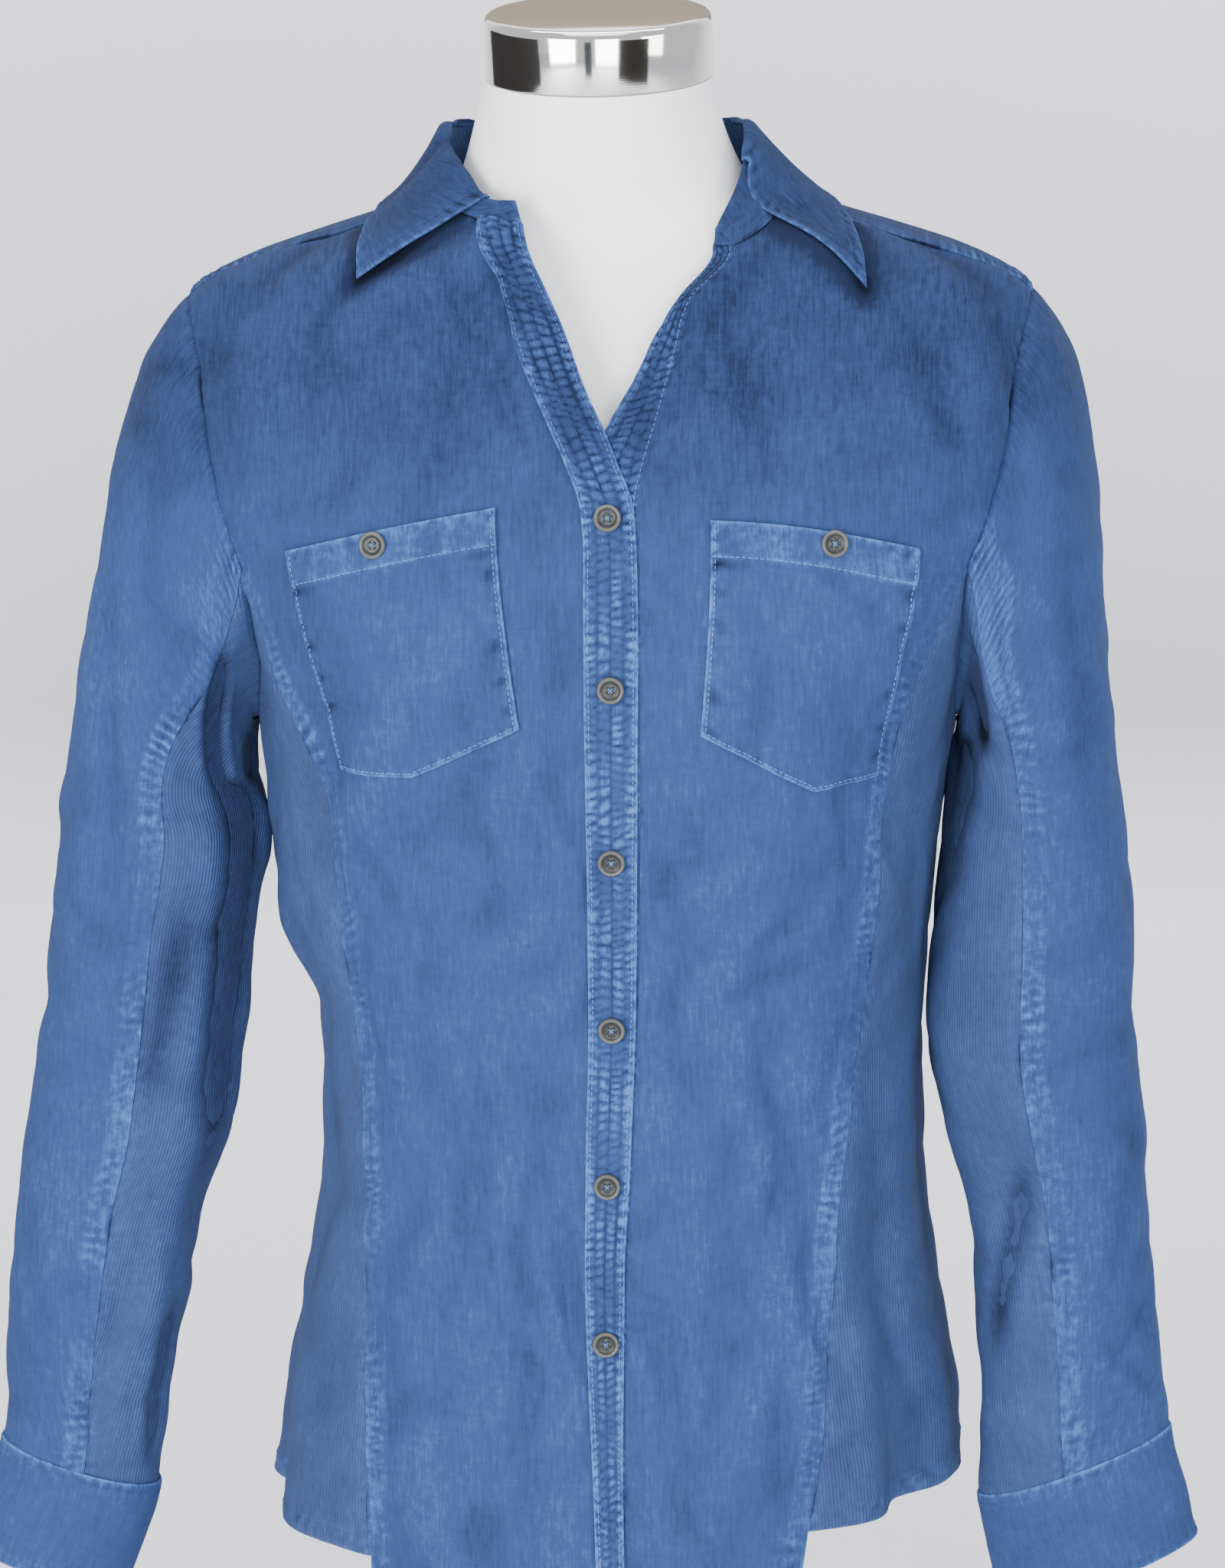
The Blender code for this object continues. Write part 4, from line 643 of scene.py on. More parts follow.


# The relief beside an edge by the distance from it and the length along it: a groove, a raised
# allowance, a stitch line pressed in, and puckers that fade away from the edge. The answer is the rise,
# the rubbed shares, and the painted shade in the edge's groove, the stitch line and the puckers' troughs.
def edgeRelief(look, away, along, seed):
    ridge = 1 - ease((away - look["ridgeWidth"]) / 0.0016)
    warp = 2.4 * np.sin(along / 0.023 + seed) + 1.6 * np.sin(along / 0.0083 + 2 * seed)
    skew = away / 0.0021 * np.sin(along / 0.017 + 5 * seed)
    strength = 0.45 + 0.4 * np.sin(along / 0.019 + 3 * seed) + 0.35 * np.sin(along / 0.0071 + 7 * seed)
    ripple = np.sin(2 * np.pi * along / look["wave"] + warp + skew) * np.clip(strength, 0, 1)
    inStrip = np.exp(-((away - look["stitch"] * 0.9) / look["reach"]) ** 2) * ease(away / 0.001)
    line = np.exp(-(((away - look["stitch"]) / 0.0008) ** 2)) * (look["stitch"] > 0)
    rise = (look["ridge"] * ridge - look["groove"] * np.exp(-((away / 0.0008) ** 2))
            + look["pucker"] * ripple * inStrip * 1.4 - 0.00022 * line)
    edge = np.exp(-((away / 0.0012) ** 2))
    patch = 0.65 + 0.35 * np.sin(along / 0.031 + 4 * seed)
    strip = ridge * patch * (0.55 + 0.45 * ripple) + 0.25 * inStrip * ripple
    rubbed = look["line"] * edge + look["wear"] * strip
    dashes = np.clip(np.sin(along / 0.021 + 6 * seed) + np.sin(along / 0.0088 + 9 * seed) - 0.9, 0, 1)
    # painted shade: dashes along the edge's groove, the pressed stitch line and the puckers' troughs
    dark = 0.8 * (look["line"] < 0.3) * edge * dashes * (look["groove"] > 0) + 0.10 * line
    beside = np.exp(-(((away - look["stitch"] * 0.8) / 0.0018) ** 2))
    dark = dark + 0.55 * beside * np.clip(-ripple - 0.25, 0, 1)
    return rise, rubbed, dark


# Positions from 0 to 1 across lines of given lengths: set distances at both ends, even steps between.
def spread(lengths, step, near=nearEdge):
    inner = np.clip(np.asarray(lengths), 2.05 * near[-1], None)
    count = max(int(np.ceil((np.max(lengths) - 2 * near[-1]) / step)), 2)
    total = 2 * (len(near) - 1) + count
    count += (-total) % 3
    lines = inner[:, None]
    start, end = near[None, :] / lines, 1 - near[None, ::-1] / lines
    t = np.linspace(0, 1, count + 1)[None, 1:-1]
    middle = start[:, -1:] + (end[:, :1] - start[:, -1:]) * t
    return np.concatenate((start, middle, end), axis=1)


# Reads a dense curve at shares of its count.
def read(curve, share):
    at = np.linspace(0, 1, len(curve))
    return np.stack([np.interp(share, at, curve[:, k]) for k in range(curve.shape[1])], -1)


# Places between four edges that share their corners: the straight blends of opposite edges, less the
# blend of the corners.
def filled(bottom, top, start, end):
    def place(u, v):
        over, up = u[..., None], v[..., None]
        rise = (1 - up) * read(bottom, u) + up * read(top, u)
        cross = (1 - over) * read(start, v) + over * read(end, v)
        corners = (1 - up) * ((1 - over) * bottom[0] + over * bottom[-1])
        corners = corners + up * ((1 - over) * top[0] + over * top[-1])
        return rise + cross - corners
    return place


def lineLengths(points, axis):
    steps = np.linalg.norm(np.diff(points, axis=axis), axis=-1)
    return np.concatenate((np.zeros_like(np.take(steps, [0], axis)), np.cumsum(steps, axis=axis)), axis=axis)


# Shares with their nearest line moved onto a set share at one side, less so up to 8 lines away.
def pulled(shares, beside, atEnd, share):
    column = -1 if atEnd else 0
    i = np.argmin(np.abs(shares[:, column] - share))
    hat = np.clip(1 - np.abs(np.arange(len(shares)) - i) / 8, 0, 1)[:, None]
    return shares + (share - shares[i, column]) * hat * (beside if atEnd else 1 - beside)


# Two shares for every grid point. Rows and columns crowd at the edges by real distances, and corners
# within an edge fall on a grid line.
def gridShares(surface, stepU, stepV, corners):
    coarse = np.linspace(0, 1, 41)
    points = surface(*np.meshgrid(coarse, coarse))
    wide, high = lineLengths(points, 1)[:, -1], lineLengths(points, 0)[-1]
    downs = spread(np.array((high.mean(),)), stepV)[0]
    overs = spread(np.array((wide.mean(),)), stepU)[0]
    u = spread(np.interp(downs, coarse, wide), stepU)
    if u.shape[1] != len(overs):
        overs = np.linspace(0, 1, u.shape[1])
    v = spread(np.interp(overs, coarse, high), stepV).T
    if v.shape[0] != u.shape[0]:
        downs = np.interp(np.linspace(0, 1, v.shape[0]), np.linspace(0, 1, len(downs)), downs)
        u = spread(np.interp(downs, coarse, wide), stepU)
    for edge, share in corners:
        if edge in ("start", "end"):
            v = pulled(v, u, edge == "end", share)
        else:
            u = pulled(u.T, v.T, edge == "top", share).T
    return u, v


# Small crumples, the same for every panel at a place: bent waves, mostly upright, each a rounded crease.
def crumple(points, size=1.0):
    random = np.random.default_rng(7)
    x, y, z = points[..., 0], points[..., 1], points[..., 2]
    around = np.arctan2(x, -y) * 0.15
    bend = 0.010 * np.sin(z / 0.043 + 3 * x / 0.07) + 0.007 * np.sin(z / 0.019 + y / 0.03)
    total = 0 * x
    for k in range(16):
        length = 0.016 + 0.052 * random.random() ** 1.5
        tilt = random.normal(0, 0.55)
        shift = random.random() * 7
        wave = (np.cos(tilt) * (around + bend) + np.sin(tilt) * z) * 2 * np.pi / length + shift
        patch = 0.5 + 0.5 * np.sin(z / (0.03 + 0.05 * random.random())
                                   + around / 0.04 * random.random() + shift)
        total = total + length * 0.012 * patch * (np.abs(np.sin(wave / 2)) * 2 - 1.25)
    return total * size


# Distances from the four edges and lengths along them, measured on the grid and square to the edge.
def edgeFrames(points):
    over, down = lineLengths(points, 1), lineLengths(points, 0)
    frames = {}
    for name, row, beside, away, length in (
        ("start", points[:, 0], points[:, 3], over, down[:, 0]),
        ("end", points[:, -1], points[:, -4], over[:, -1:] - over, down[:, -1]),
        ("bottom", points[0], points[3], down, over[0]),
        ("top", points[-1], points[-4], down[-1:] - down, over[-1]),
    ):
        tangent, toward = unit(np.gradient(row, axis=0)), unit(beside - row)
        square = np.sqrt(np.clip(1 - np.sum(tangent * toward, -1) ** 2, 0.09, 1))
        if name in ("start", "end"):
            frames[name] = (away * square[:, None], np.broadcast_to(length[:, None], away.shape))
        else:
            frames[name] = (away * square[None, :], np.broadcast_to(length[None, :], away.shape))
        frames[f"{name} outward"] = -toward if name in ("bottom", "top") else -toward[:, None]
    return frames


# Points and normals of the line at a set distance from an edge, read on the outer grid.
def lineAt(outer, normal, frames, edge, distance, span=(0, 1)):
    away = frames[edge][0]
    if edge in ("bottom", "top"):
        away, outer, normal = away.T, outer.transpose(1, 0, 2), normal.transpose(1, 0, 2)
    if edge in ("end", "top"):
        away, outer, normal = away[:, ::-1], outer[:, ::-1], normal[:, ::-1]
    k = np.clip(np.argmax(away > distance, axis=1), 1, away.shape[1] - 1)[:, None]
    low, high = np.take_along_axis(away, k - 1, 1), np.take_along_axis(away, k, 1)
    t = np.clip((distance - low) / np.maximum(high - low, 1e-9), 0, 1)[..., None]
    k = k[..., None]
    line, up = (np.take_along_axis(grid, k - 1, 1) * (1 - t) + np.take_along_axis(grid, k, 1) * t
                for grid in (outer, normal))
    first, last = (int(round(share * (len(line) - 1))) for share in span)
    return line[first:last + 1, 0], unit(up[:, 0])[first:last + 1]


def addMesh(name, points, faces, finish, sharp=0.95):
    mesh = bpy.data.meshes.new(name)
    mesh.from_pydata(points.tolist(), [], faces)
    mesh.shade_smooth()
    mesh.set_sharp_from_angle(angle=sharp)
    mesh.materials.append(finish)
    return addObject(name, mesh)


def setPoints(made, name, values):
    made.data.attributes.new(name, "FLOAT", "POINT").data.foreach_set("value", np.asarray(values, np.float32))


def setCut(made, across, along):
    # the cloth's own map in metres: u across the grain and v along it
    layer = made.data.uv_layers.new(name="cut")
    corners = np.empty(len(made.data.loops), np.int32)
    made.data.loops.foreach_get("vertex_index", corners)
    layer.data.foreach_set("uv", np.stack((across[corners], along[corners]), -1).astype(np.float32).ravel())


def gridFaces(rows, columns, first=0):
    a = (np.arange(rows - 1)[:, None] * columns + np.arange(columns - 1)[None, :] + first).ravel()
    return np.stack((a, a + 1, a + columns + 1, a + columns), -1)


# A closed wall: the outer grid, an inner grid with a third of its lines, and rims between them.
def closeWall(name, outer, inner, finish, coarse=3):
    rows, columns = outer.shape[:2]
    innerGrid = inner[::coarse, ::coarse]
    low, wide = innerGrid.shape[:2]
    size = rows * columns
    points = np.concatenate((outer.reshape(-1, 3), innerGrid.reshape(-1, 3)))
    faces = gridFaces(rows, columns).tolist() + gridFaces(low, wide, size)[:, ::-1].tolist()
    whole, part = np.arange(size).reshape(rows, columns), size + np.arange(low * wide).reshape(low, wide)
    for a, b in ((whole[0], part[0]), (whole[:, -1], part[:, -1]),
                 (whole[-1, ::-1], part[-1, ::-1]), (whole[::-1, 0], part[::-1, 0])):
        faces += [[*a[k * coarse:(k + 1) * coarse + 1][::-1].tolist(), *b[k:k + 2].tolist()]
                  for k in range(len(b) - 1)]
    along, up = outer[1, 1] - outer[1, 0], outer[2, 1] - outer[1, 1]
    if np.cross(along, up) @ (outer[1, 1] - inner[1, 1]) < 0:
        faces = [face[::-1] for face in faces]
    return addMesh(name, points, faces, finish), whole[::coarse, ::coarse].ravel()


# A panel of cloth for a CAD node: a closed wall over a surface, with crumples, the relief of its edges
# and its own extra relief, and the stitch lines that lie on it.
def addPanel(name, node, flat, surface, direction, edges, aims=(), corners=(), step=(0.0028, 0.0023), lift=0,
             crumples=1.0, extra=None, cutPlace=None, seed=1.0, stitches=(), finish="pincord", slot="pincord",
             rests="form_body", held="hung"):
    u, v = gridShares(surface, *step, corners)
    place, normal = surface(u, v), direction(u, v)
    frames = edgeFrames(place)
    for edge, aim in dict(aims).items():
        share = dict(start=v[:, :1], end=v[:, -1:], bottom=u[:1], top=u[-1:])[edge]
        weight = np.exp(-((frames[edge][0] / 0.006) ** 2))[..., None]
        normal = unit(normal * (1 - weight) + read(aim, share) * weight)
    rise = crumple(place, crumples)
    inner = place + normal * (lift + rise[..., None])
    relief, lapped = 0 * rise, 0 * place
    # painted shade in the crumples' troughs
    wear, shade = np.clip(rise / 0.0016, 0, 1) * 0.12, np.clip(-rise / 0.0022, 0, 1) * 0.25
    for edge, runs in edges.items():
        away, length = frames[edge]
        share = v if edge in ("start", "end") else u
        for k, (low, high, kind) in enumerate([(0, 1, runs)] if isinstance(runs, str) else runs):
            inRun = (share >= low) & (share <= high)
            one, rubbed, dark = edgeRelief(edgeKinds[kind], away, length, seed + k + len(edge))
            relief, wear, shade = relief + one * inRun, wear + rubbed * inRun, shade + dark * inRun
            beyond = edgeKinds[kind]["lap"] * np.exp(-((away / 0.0010) ** 2)) * inRun
            lapped = lapped + beyond[..., None] * frames[f"{edge} outward"]
    if extra:
        more, rubbed, dark = extra(u, v, frames)
        relief, wear, shade = relief + more, wear + rubbed, shade + dark
    outer = place + normal * (lift + cloth["wall"] + rise + relief)[..., None] + lapped
    made, kept = closeWall(name, outer, inner, finishes[finish])
    for word, values in (("wear", wear), ("shade", shade)):
        values = np.clip(values, 0, 1).ravel()
        setPoints(made, word, np.concatenate((values, values[kept] * 0.5)))
    cut = cutPlace(place) if cutPlace else (lineLengths(place, 1), lineLengths(place, 0))
    setCut(made, *(np.concatenate((values.ravel(), values.ravel()[kept])) for values in cut))
    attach(made, "root")
    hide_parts(node)
    clothArea(outer)
    spreadU, spreadV = np.gradient(outer, axis=(1, 0))
    up = unit(np.cross(spreadU, spreadV))
    up = up * np.sign(np.sum(up * normal, -1, keepdims=True))
    threads[node] = [stitchBars(*lineAt(outer, up, frames, *row)) for row in stitches]


# ---- stitches

stitch = dict(length=0.0021, pitch=0.0029, width=0.00055, rise=0.00026)


# Short threads along a line: each is a low bar with bevelled ends, bedded in the cloth.
def stitchBars(line, up, look=stitch):
    length = lineLengths(line, 0)
    count = int(length[-1] / look["pitch"])
    if count < 1:
        return np.zeros((0, 8, 3))
    middle = (np.arange(count) + 0.5) * look["pitch"]
    at = lambda values, s: np.stack([np.interp(s, length, values[:, k]) for k in range(3)], -1)
    centre, normal = at(line, middle), unit(at(up, middle))
    ahead = unit(at(line, middle + look["pitch"] / 3) - at(line, middle - look["pitch"] / 3))
    aside = unit(np.cross(normal, ahead))
    return np.stack([centre + normal * look["rise"] * height + ahead * look["length"] * long * a
                     + aside * look["width"] * wide * b
                     for height, long, wide in ((-0.8, 0.5, 0.5), (1.0, 0.36, 0.32))
                     for a, b in ((-1, -1), (1, -1), (1, 1), (-1, 1))], 1)


def addStitches(name, bars, finish):
    blocks = np.concatenate([bar for bar in bars if len(bar)])
    box = np.array(((3, 2, 1, 0), (4, 5, 6, 7), (0, 1, 5, 4), (1, 2, 6, 5), (2, 3, 7, 6), (3, 0, 4, 7)))
    faces = (box[None] + 8 * np.arange(len(blocks))[:, None, None]).reshape(-1, 4)
    made = addMesh(name, blocks.reshape(-1, 3), faces.tolist(), finish, 0.6)
    flat = np.zeros(len(blocks) * 8)
    setPoints(made, "wear", flat)
    setPoints(made, "shade", flat)
    setCut(made, flat, flat)
    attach(made, "root")


# ---- the shirt

finishes = {name: clothFinish(name) for name in clothLook}
finishes.update({"skin": skinFinish(), "chrome": chromeFinish(), "button": buttonFinish()})
sides = ((left, "left"), (right, "right"))


threads = {}


# A crease in the cloth of the fronts has the angle and height of both ends, its width in degrees and depth.
bodyCreases = named("at_top top_mm at_foot foot_mm width depth_mm", (
    (-46, 836, -27, 784, 3, 1.6), (-27, 784, -17, 750, 2.2, 1.4), (-74, 806, -64, 715, 3.2, 1),
    (-67, 800, -57, 735, 2.4, 0.7), (-14, 386, -5, 278, 2.6, 1.6), (-9, 379, -9, 285, 2, 1),
    (-20, 330, -17, 180, 3, 1.4), (12, 345, 16, 190, 3, 1.6), (30, 420, 26, 300, 4, 1),
    (-33, 440, -30, 320, 4, 1), (-52, 560, -38, 500, 3.5, 1.2), (52, 560, 36, 500, 3.5, 1.2),
    (66, 806, 60, 730, 3, 0.9), (38, 800, 30, 755, 3, 0.8), (-38, 300, -34, 200, 2.6, 1),
    (38, 300, 36, 200, 2.6, 1),
))
creaseColumns = "at_top top at_foot foot width depth_mm"
sleeveCreases = {  # by the angle round the sleeve and the share along it
    left: named(creaseColumns, (
        (138, 0.1, 128, 0.8, 9, 3.2), (158, 0.45, 150, 1.15, 12, 3), (100, 1.42, 150, 1.7, 9, 1.6),
        (68, 1.68, 20, 1.81, 8, 1.4), (20, 1.4, 60, 1.62, 9, 1.2), (60, 0.35, 48, 1.05, 10, 1.2),
    )),
    right: named(creaseColumns, (
        (124, 0.28, 140, 1, 6, 3.6), (146, 0.85, 152, 1.5, 12, 3.4), (168, 0.4, 172, 1, 8, 2.4),
        (152, 1.62, 154, 1.84, 8, 2.2), (40, 0.45, 72, 1.05, 9, 1.4), (118, 1.1, 100, 1.4, 10, 1.2),
        (30, 1.5, 70, 1.75, 9, 1.2),
    )),
}


# Sharp small creases at an angle and a place along: each is a narrow bell, deepest in its middle, with a
# faint ridge beside it. The answer is its rise, the wear on the ridge and the shade in the trough.
def creased(creases, across, along, darkness=100):
    rise, worn, dark = 0 * across, 0 * across, 0 * across
    for crease in creases:
        down = (along - crease["top"]) / (crease["foot"] - crease["top"])
        middle = crease["at_top"] + np.clip(down, 0, 1) * (crease["at_foot"] - crease["at_top"])
        away = ((across - middle + 180) % 360 - 180) / crease["width"]
        ends = ease(down / 0.35 + 0.15) * ease((1 - down) / 0.35 + 0.15) * crease["depth"]
        trough, ridge = np.exp(-(away**2)), np.exp(-((np.abs(away) - 1.9) ** 2) / 0.6)
        rise = rise + ends * (0.45 * ridge - trough)
        worn, dark = worn + 25 * ends * ridge, dark + darkness * ends * trough
    return rise, worn, np.clip(dark, 0, 0.35 + darkness / 560)


# The body's surface and normals over places of angle and height.
def overBody(place):
    return [lambda u, v, of=of: of(*np.moveaxis(place(u, v), -1, 0)) for of in (onBody, bodyNormal)]


# The cut of fronts and back: the arc, on a drum of a set radius, in front of which a point lies.
def drumCut(points, radius=0.235):
    return radius * np.arcsin(np.clip(points[..., 0] / radius, -1, 1)), points[..., 2]


# The cut of side panels: the angle times a mean radius, and the height.
def ringCut(points, radius=0.145):
    return np.arctan2(points[..., 0], -points[..., 1]) * radius, points[..., 2]


# The cut of sleeves: the distance from the middle line, and the length down the sleeve.
def middleCut(points):
    over, down = lineLengths(points, 1), lineLengths(points, 0)
    middle = over.shape[1] // 2
    return over - over[:, middle:middle + 1], 0 * over + down[:, middle:middle + 1]


def clothArea(outer):
    rows, columns = np.diff(outer, axis=0)[:, :-1], np.diff(outer, axis=1)[:-1]
    return float(np.linalg.norm(np.cross(rows, columns), axis=-1).sum())


# Painted shadow under the collar's free edge: the cloth there is darker by a bell of the distance to it.
def paintedCollarShadow(points):
    rounds = np.linspace(fall["ends"][0], fall["ends"][1], 90)
    ends = [onFall(np.full(30, end), np.linspace(0, 1, 30)) for end in fall["ends"]]
    line = np.concatenate((collarPlace("edge", rounds), *ends))
    flat = points.reshape(-1, 3)
    nearest = np.full(len(flat), 1.0)
    for spot in line:
        nearest = np.minimum(nearest, np.linalg.norm((flat - spot) * (1, 0.5, 1), axis=-1))
    return 0.8 * np.exp(-((nearest / 0.0065) ** 2)).reshape(points.shape[:-1])


def addFront(side, word):
    rounds = frontNeckRounds(side)
    neck = pairs(180 + rounds - 360 * (rounds > 0), collar("height", rounds))
    top = np.concatenate((neck, yokeSeam(side)[1:]))
    heights = seamHeights(side)
    seam = pairs(side * seamAngles(f"front_{word}", heights), heights)
    outer = np.concatenate((seam, armholePlaces(side, aroundFront)[1:]))
    centre = frontEdge(side)
    centre[-1] = top[0]
    share = np.linspace(0, 1, len(top))
    hem = pairs(centre[0, 0] + (outer[0, 0] - centre[0, 0]) * share,
                centre[0, 1] + (outer[0, 1] - centre[0, 1]) * share**2)
    place = filled(hem, top, centre, outer)
    aims = dict(end=bodyNormal(*outer.T), top=bodyNormal(*top.T))
    aims["end"][-6 * fine - 1:] = armholeDirection(side, aroundFront)
    aims["top"][:4 * fine + 1] = neckDirection(rounds)
    apex, neckEnd, tail = 19 / 25, 4 / 10, 2 / 25

    def pressed(u, v, frames):
        spots = np.moveaxis(place(u, v), -1, 0)
        rise, worn, dark = creased(bodyCreases, *spots)
        # painted shade in the creases' troughs and painted shadow under the collar
        return rise, worn, dark + paintedCollarShadow(onBody(*spots))

    addPanel(f"{word}FrontCloth", f"front_{word}", (0.27, 0.74), *overBody(place),
             dict(start="under", bottom="hem",
                  end=[(0, tail, "hem"), (tail, apex, "welt"), (apex, 1, "plain")],
                  top=[(0, neckEnd, "plain"), (neckEnd, 1, "plain")]),
             aims, [("end", apex), ("top", neckEnd)], extra=pressed, cutPlace=drumCut, seed=side,
             stitches=(("end", stitchAt["seam"], (tail, apex)), ("bottom", stitchAt["hem"]),
                       ("end", stitchAt["hem"], (0, tail))))


def addBack():
    seamLines = {}
    for side in (left, right):
        heights = seamHeights(side)
        seam = pairs(seamAngles("back", heights), heights)
        seamLines[side] = np.concatenate((seam, armholePlaces(1, aroundBack)[1:]))
    start, end = seamLines[left], seamLines[right] * (-1, 1) + (360, 0)
    share = np.linspace(0, 1, 14 * fine + 1)
    hem = pairs(start[0, 0] + (end[0, 0] - start[0, 0]) * share,
                hems["frontSide"] - (hems["frontSide"] - hems["front"]) * np.sin(np.pi * share))
    top = pairs(start[-1, 0] + (end[-1, 0] - start[-1, 0]) * share, seams["backYoke"])
    aims = {}
    for edge, side, line in (("start", left, start), ("end", right, end)):
        aims[edge] = bodyNormal(*line.T)
        aims[edge][-3 * fine - 1:] = armholeDirection(side, aroundBack)
    tail, apex = 2 / 22, 19 / 22
    runs = [(0, tail, "hem"), (tail, apex, "welt"), (apex, 1, "plain")]
    addPanel("backCloth", "back", (0.42, 0.64), *overBody(filled(hem, top, start, end)),
             dict(start=runs, end=runs, bottom="hem", top="plain"), aims, [("start", apex), ("end", apex)],
             cutPlace=drumCut, seed=3,
             stitches=(("start", stitchAt["seam"], (tail, apex)), ("end", stitchAt["seam"], (tail, apex)),
                       ("bottom", stitchAt["hem"])))


def addYoke():
    share = np.linspace(0, 1, 14 * fine + 1)
    armLeft = armholePlaces(left, aroundYoke[::-1])
    armRight = armholePlaces(right, aroundYoke) + (360, 0)
    seam = pairs(armLeft[-1, 0] + (armRight[0, 0] - armLeft[-1, 0]) * share, seams["backYoke"])
    outer = np.concatenate((armLeft, seam[1:-1], armRight))
    rounds = np.linspace(seams["yokeAtNeck"] - 180, 180 - seams["yokeAtNeck"], len(outer))
    neck = pairs(180 + rounds, collar("height", rounds))
    aimTop = bodyNormal(*outer.T)
    aimTop[:4 * fine + 1] = armholeDirection(left, aroundYoke[::-1])
    aimTop[-4 * fine - 1:] = armholeDirection(right, aroundYoke)
    first, last = 4 / 22, 18 / 22
    place = filled(neck, outer, yokeSeam(left), yokeSeam(right) + (360, 0))
    addPanel("yokeCloth", "yoke", (0.50, 0.26), *overBody(place),
             dict(start="welt", end="welt", bottom="plain",
                  top=[(0, first, "welt"), (first, last, "welt"), (last, 1, "welt")]),
             dict(top=aimTop, bottom=neckDirection(rounds)), [("top", first), ("top", last)], crumples=0.35,
             cutPlace=lambda points: (points[..., 0], lineLengths(points, 0)), seed=4, held="draped",
             stitches=[(edge, stitchAt["seam"]) for edge in ("start", "end", "top")])


def addSide(side, word):
    heights = seamHeights(side)[2 * fine:]
    front = pairs(seamAngles(f"front_{word}", heights), heights)
    back = pairs(seamAngles("back", heights), heights)
    rounds = (aroundUnder + 180) % 360 - 180
    hem = pairs(np.linspace(front[0, 0], back[0, 0], 10 * fine + 1), sideHem[side])
    inside = filled(hem, armholePlaces(1, rounds), front, back)
    place = lambda u, v: inside(u, v) * (side, 1)
    addPanel(f"{word}SideKnit", f"side_{word}", (0.20, 0.50), *overBody(place),
             dict(start="plain", end="plain", bottom="hem", top="plain"),
             dict(top=armholeDirection(side, rounds)),
             cutPlace=ringCut, crumples=0.8, seed=5 + side, stitches=(("bottom", stitchAt["hem"]),),
             finish="rib knit", slot="rib_knit")


def alongAt(side, height):
    return 1 + (seams["sleeveTop"] - height) / (seams["sleeveTop"] - sleeveFoot[side])


# Angles round the sleeve: at the armhole they are the armhole's, and further down they even out. The
# front seam swings in below the armhole by a bell along the sleeve.
def sleeveAngles(side, part, atArmhole, seamPair, u, along):
    blend = ease((along - 0.3) / 0.9)
    even = seamPair[0] + (seamPair[1] - seamPair[0]) * u
    swing = seamSwing[side] * np.exp(-(((along - 0.5) / 0.3) ** 2)) * ease(along / 0.15)
    swing = swing * (u if part == "upper" else 1 - u)
    return np.interp(u, np.linspace(0, 1, len(atArmhole)), atArmhole) * (1 - blend) + even * blend + swing


def addSleeve(side, word):
    end = alongAt(side, cuffTop[side] - seams["inCuff"])
    cover = np.concatenate((aroundBack, aroundYoke[1:], aroundFront[::-1][1:]))
    front, back = seams["sleeveFront"], seams["sleeveBack"]
    for part, atArmhole, seamPair, finish, kind, flat in (
        ("upper", cover, (back, front), "pincord", "welt", (0.24, 0.66)),
        ("under", aroundUnder, (front, back + 360), "rib knit", "plain", (0.20, 0.50)),
    ):
        def spots(u, v):
            return sleeveAngles(side, part, atArmhole, seamPair, u, v * end), v * end

        # the under sleeve's creases get a much stronger painted shade, the shadow near the armpit
        def pressed(u, v, frames):
            return creased(sleeveCreases[side], *spots(u, v), 420 if part == "under" else 120)

        addPanel(f"{word}{part.capitalize()}Sleeve", f"sleeve_{part}_{word}", flat,
                 lambda u, v: onSleeve(side)(*spots(u, v)), lambda u, v: sleeveNormal(side, *spots(u, v)),
                 dict(start=kind, end=kind, bottom="plain", top="under"),
                 dict(bottom=armholeDirection(side, (atArmhole + 180) % 360 - 180)), crumples=0.9,
                 extra=pressed, cutPlace=middleCut, seed=7 + side, finish=finish,
                 slot=finish.replace(" ", "_"),
                 stitches=[(edge, stitchAt["seam"]) for edge in ("start", "end") if kind == "welt"])


def addCuff(side, word):
    first, last = seams["sleeveBack"], seams["sleeveBack"] + 360 + 2 * 194 / 13
    foot, top = 2.0, alongAt(side, cuffTop[side])

    def spots(u, v):
        return first + (last - first) * u, foot + (top - foot) * v

    def surface(u, v):
        around, along = spots(u, v)
        lap = ease((around - (last - 45)) / 18)
        normal = sleeveNormal(side, around, along)
        return onSleeve(side)(around, along) + normal * (cloth["cuffLift"] * (1 + lap))[..., None]

    addPanel(f"{word}CuffCloth", f"cuff_{word}", (0.30, 0.062), surface,
             lambda u, v: sleeveNormal(side, *spots(u, v)),
             dict(start="under", end="free", bottom="free", top="free"),
             crumples=0.5, seed=9 + side, rests=f"sleeve_upper_{word}",
             stitches=[(edge, stitchAt["seam"]) for edge in ("bottom", "top", "end")])


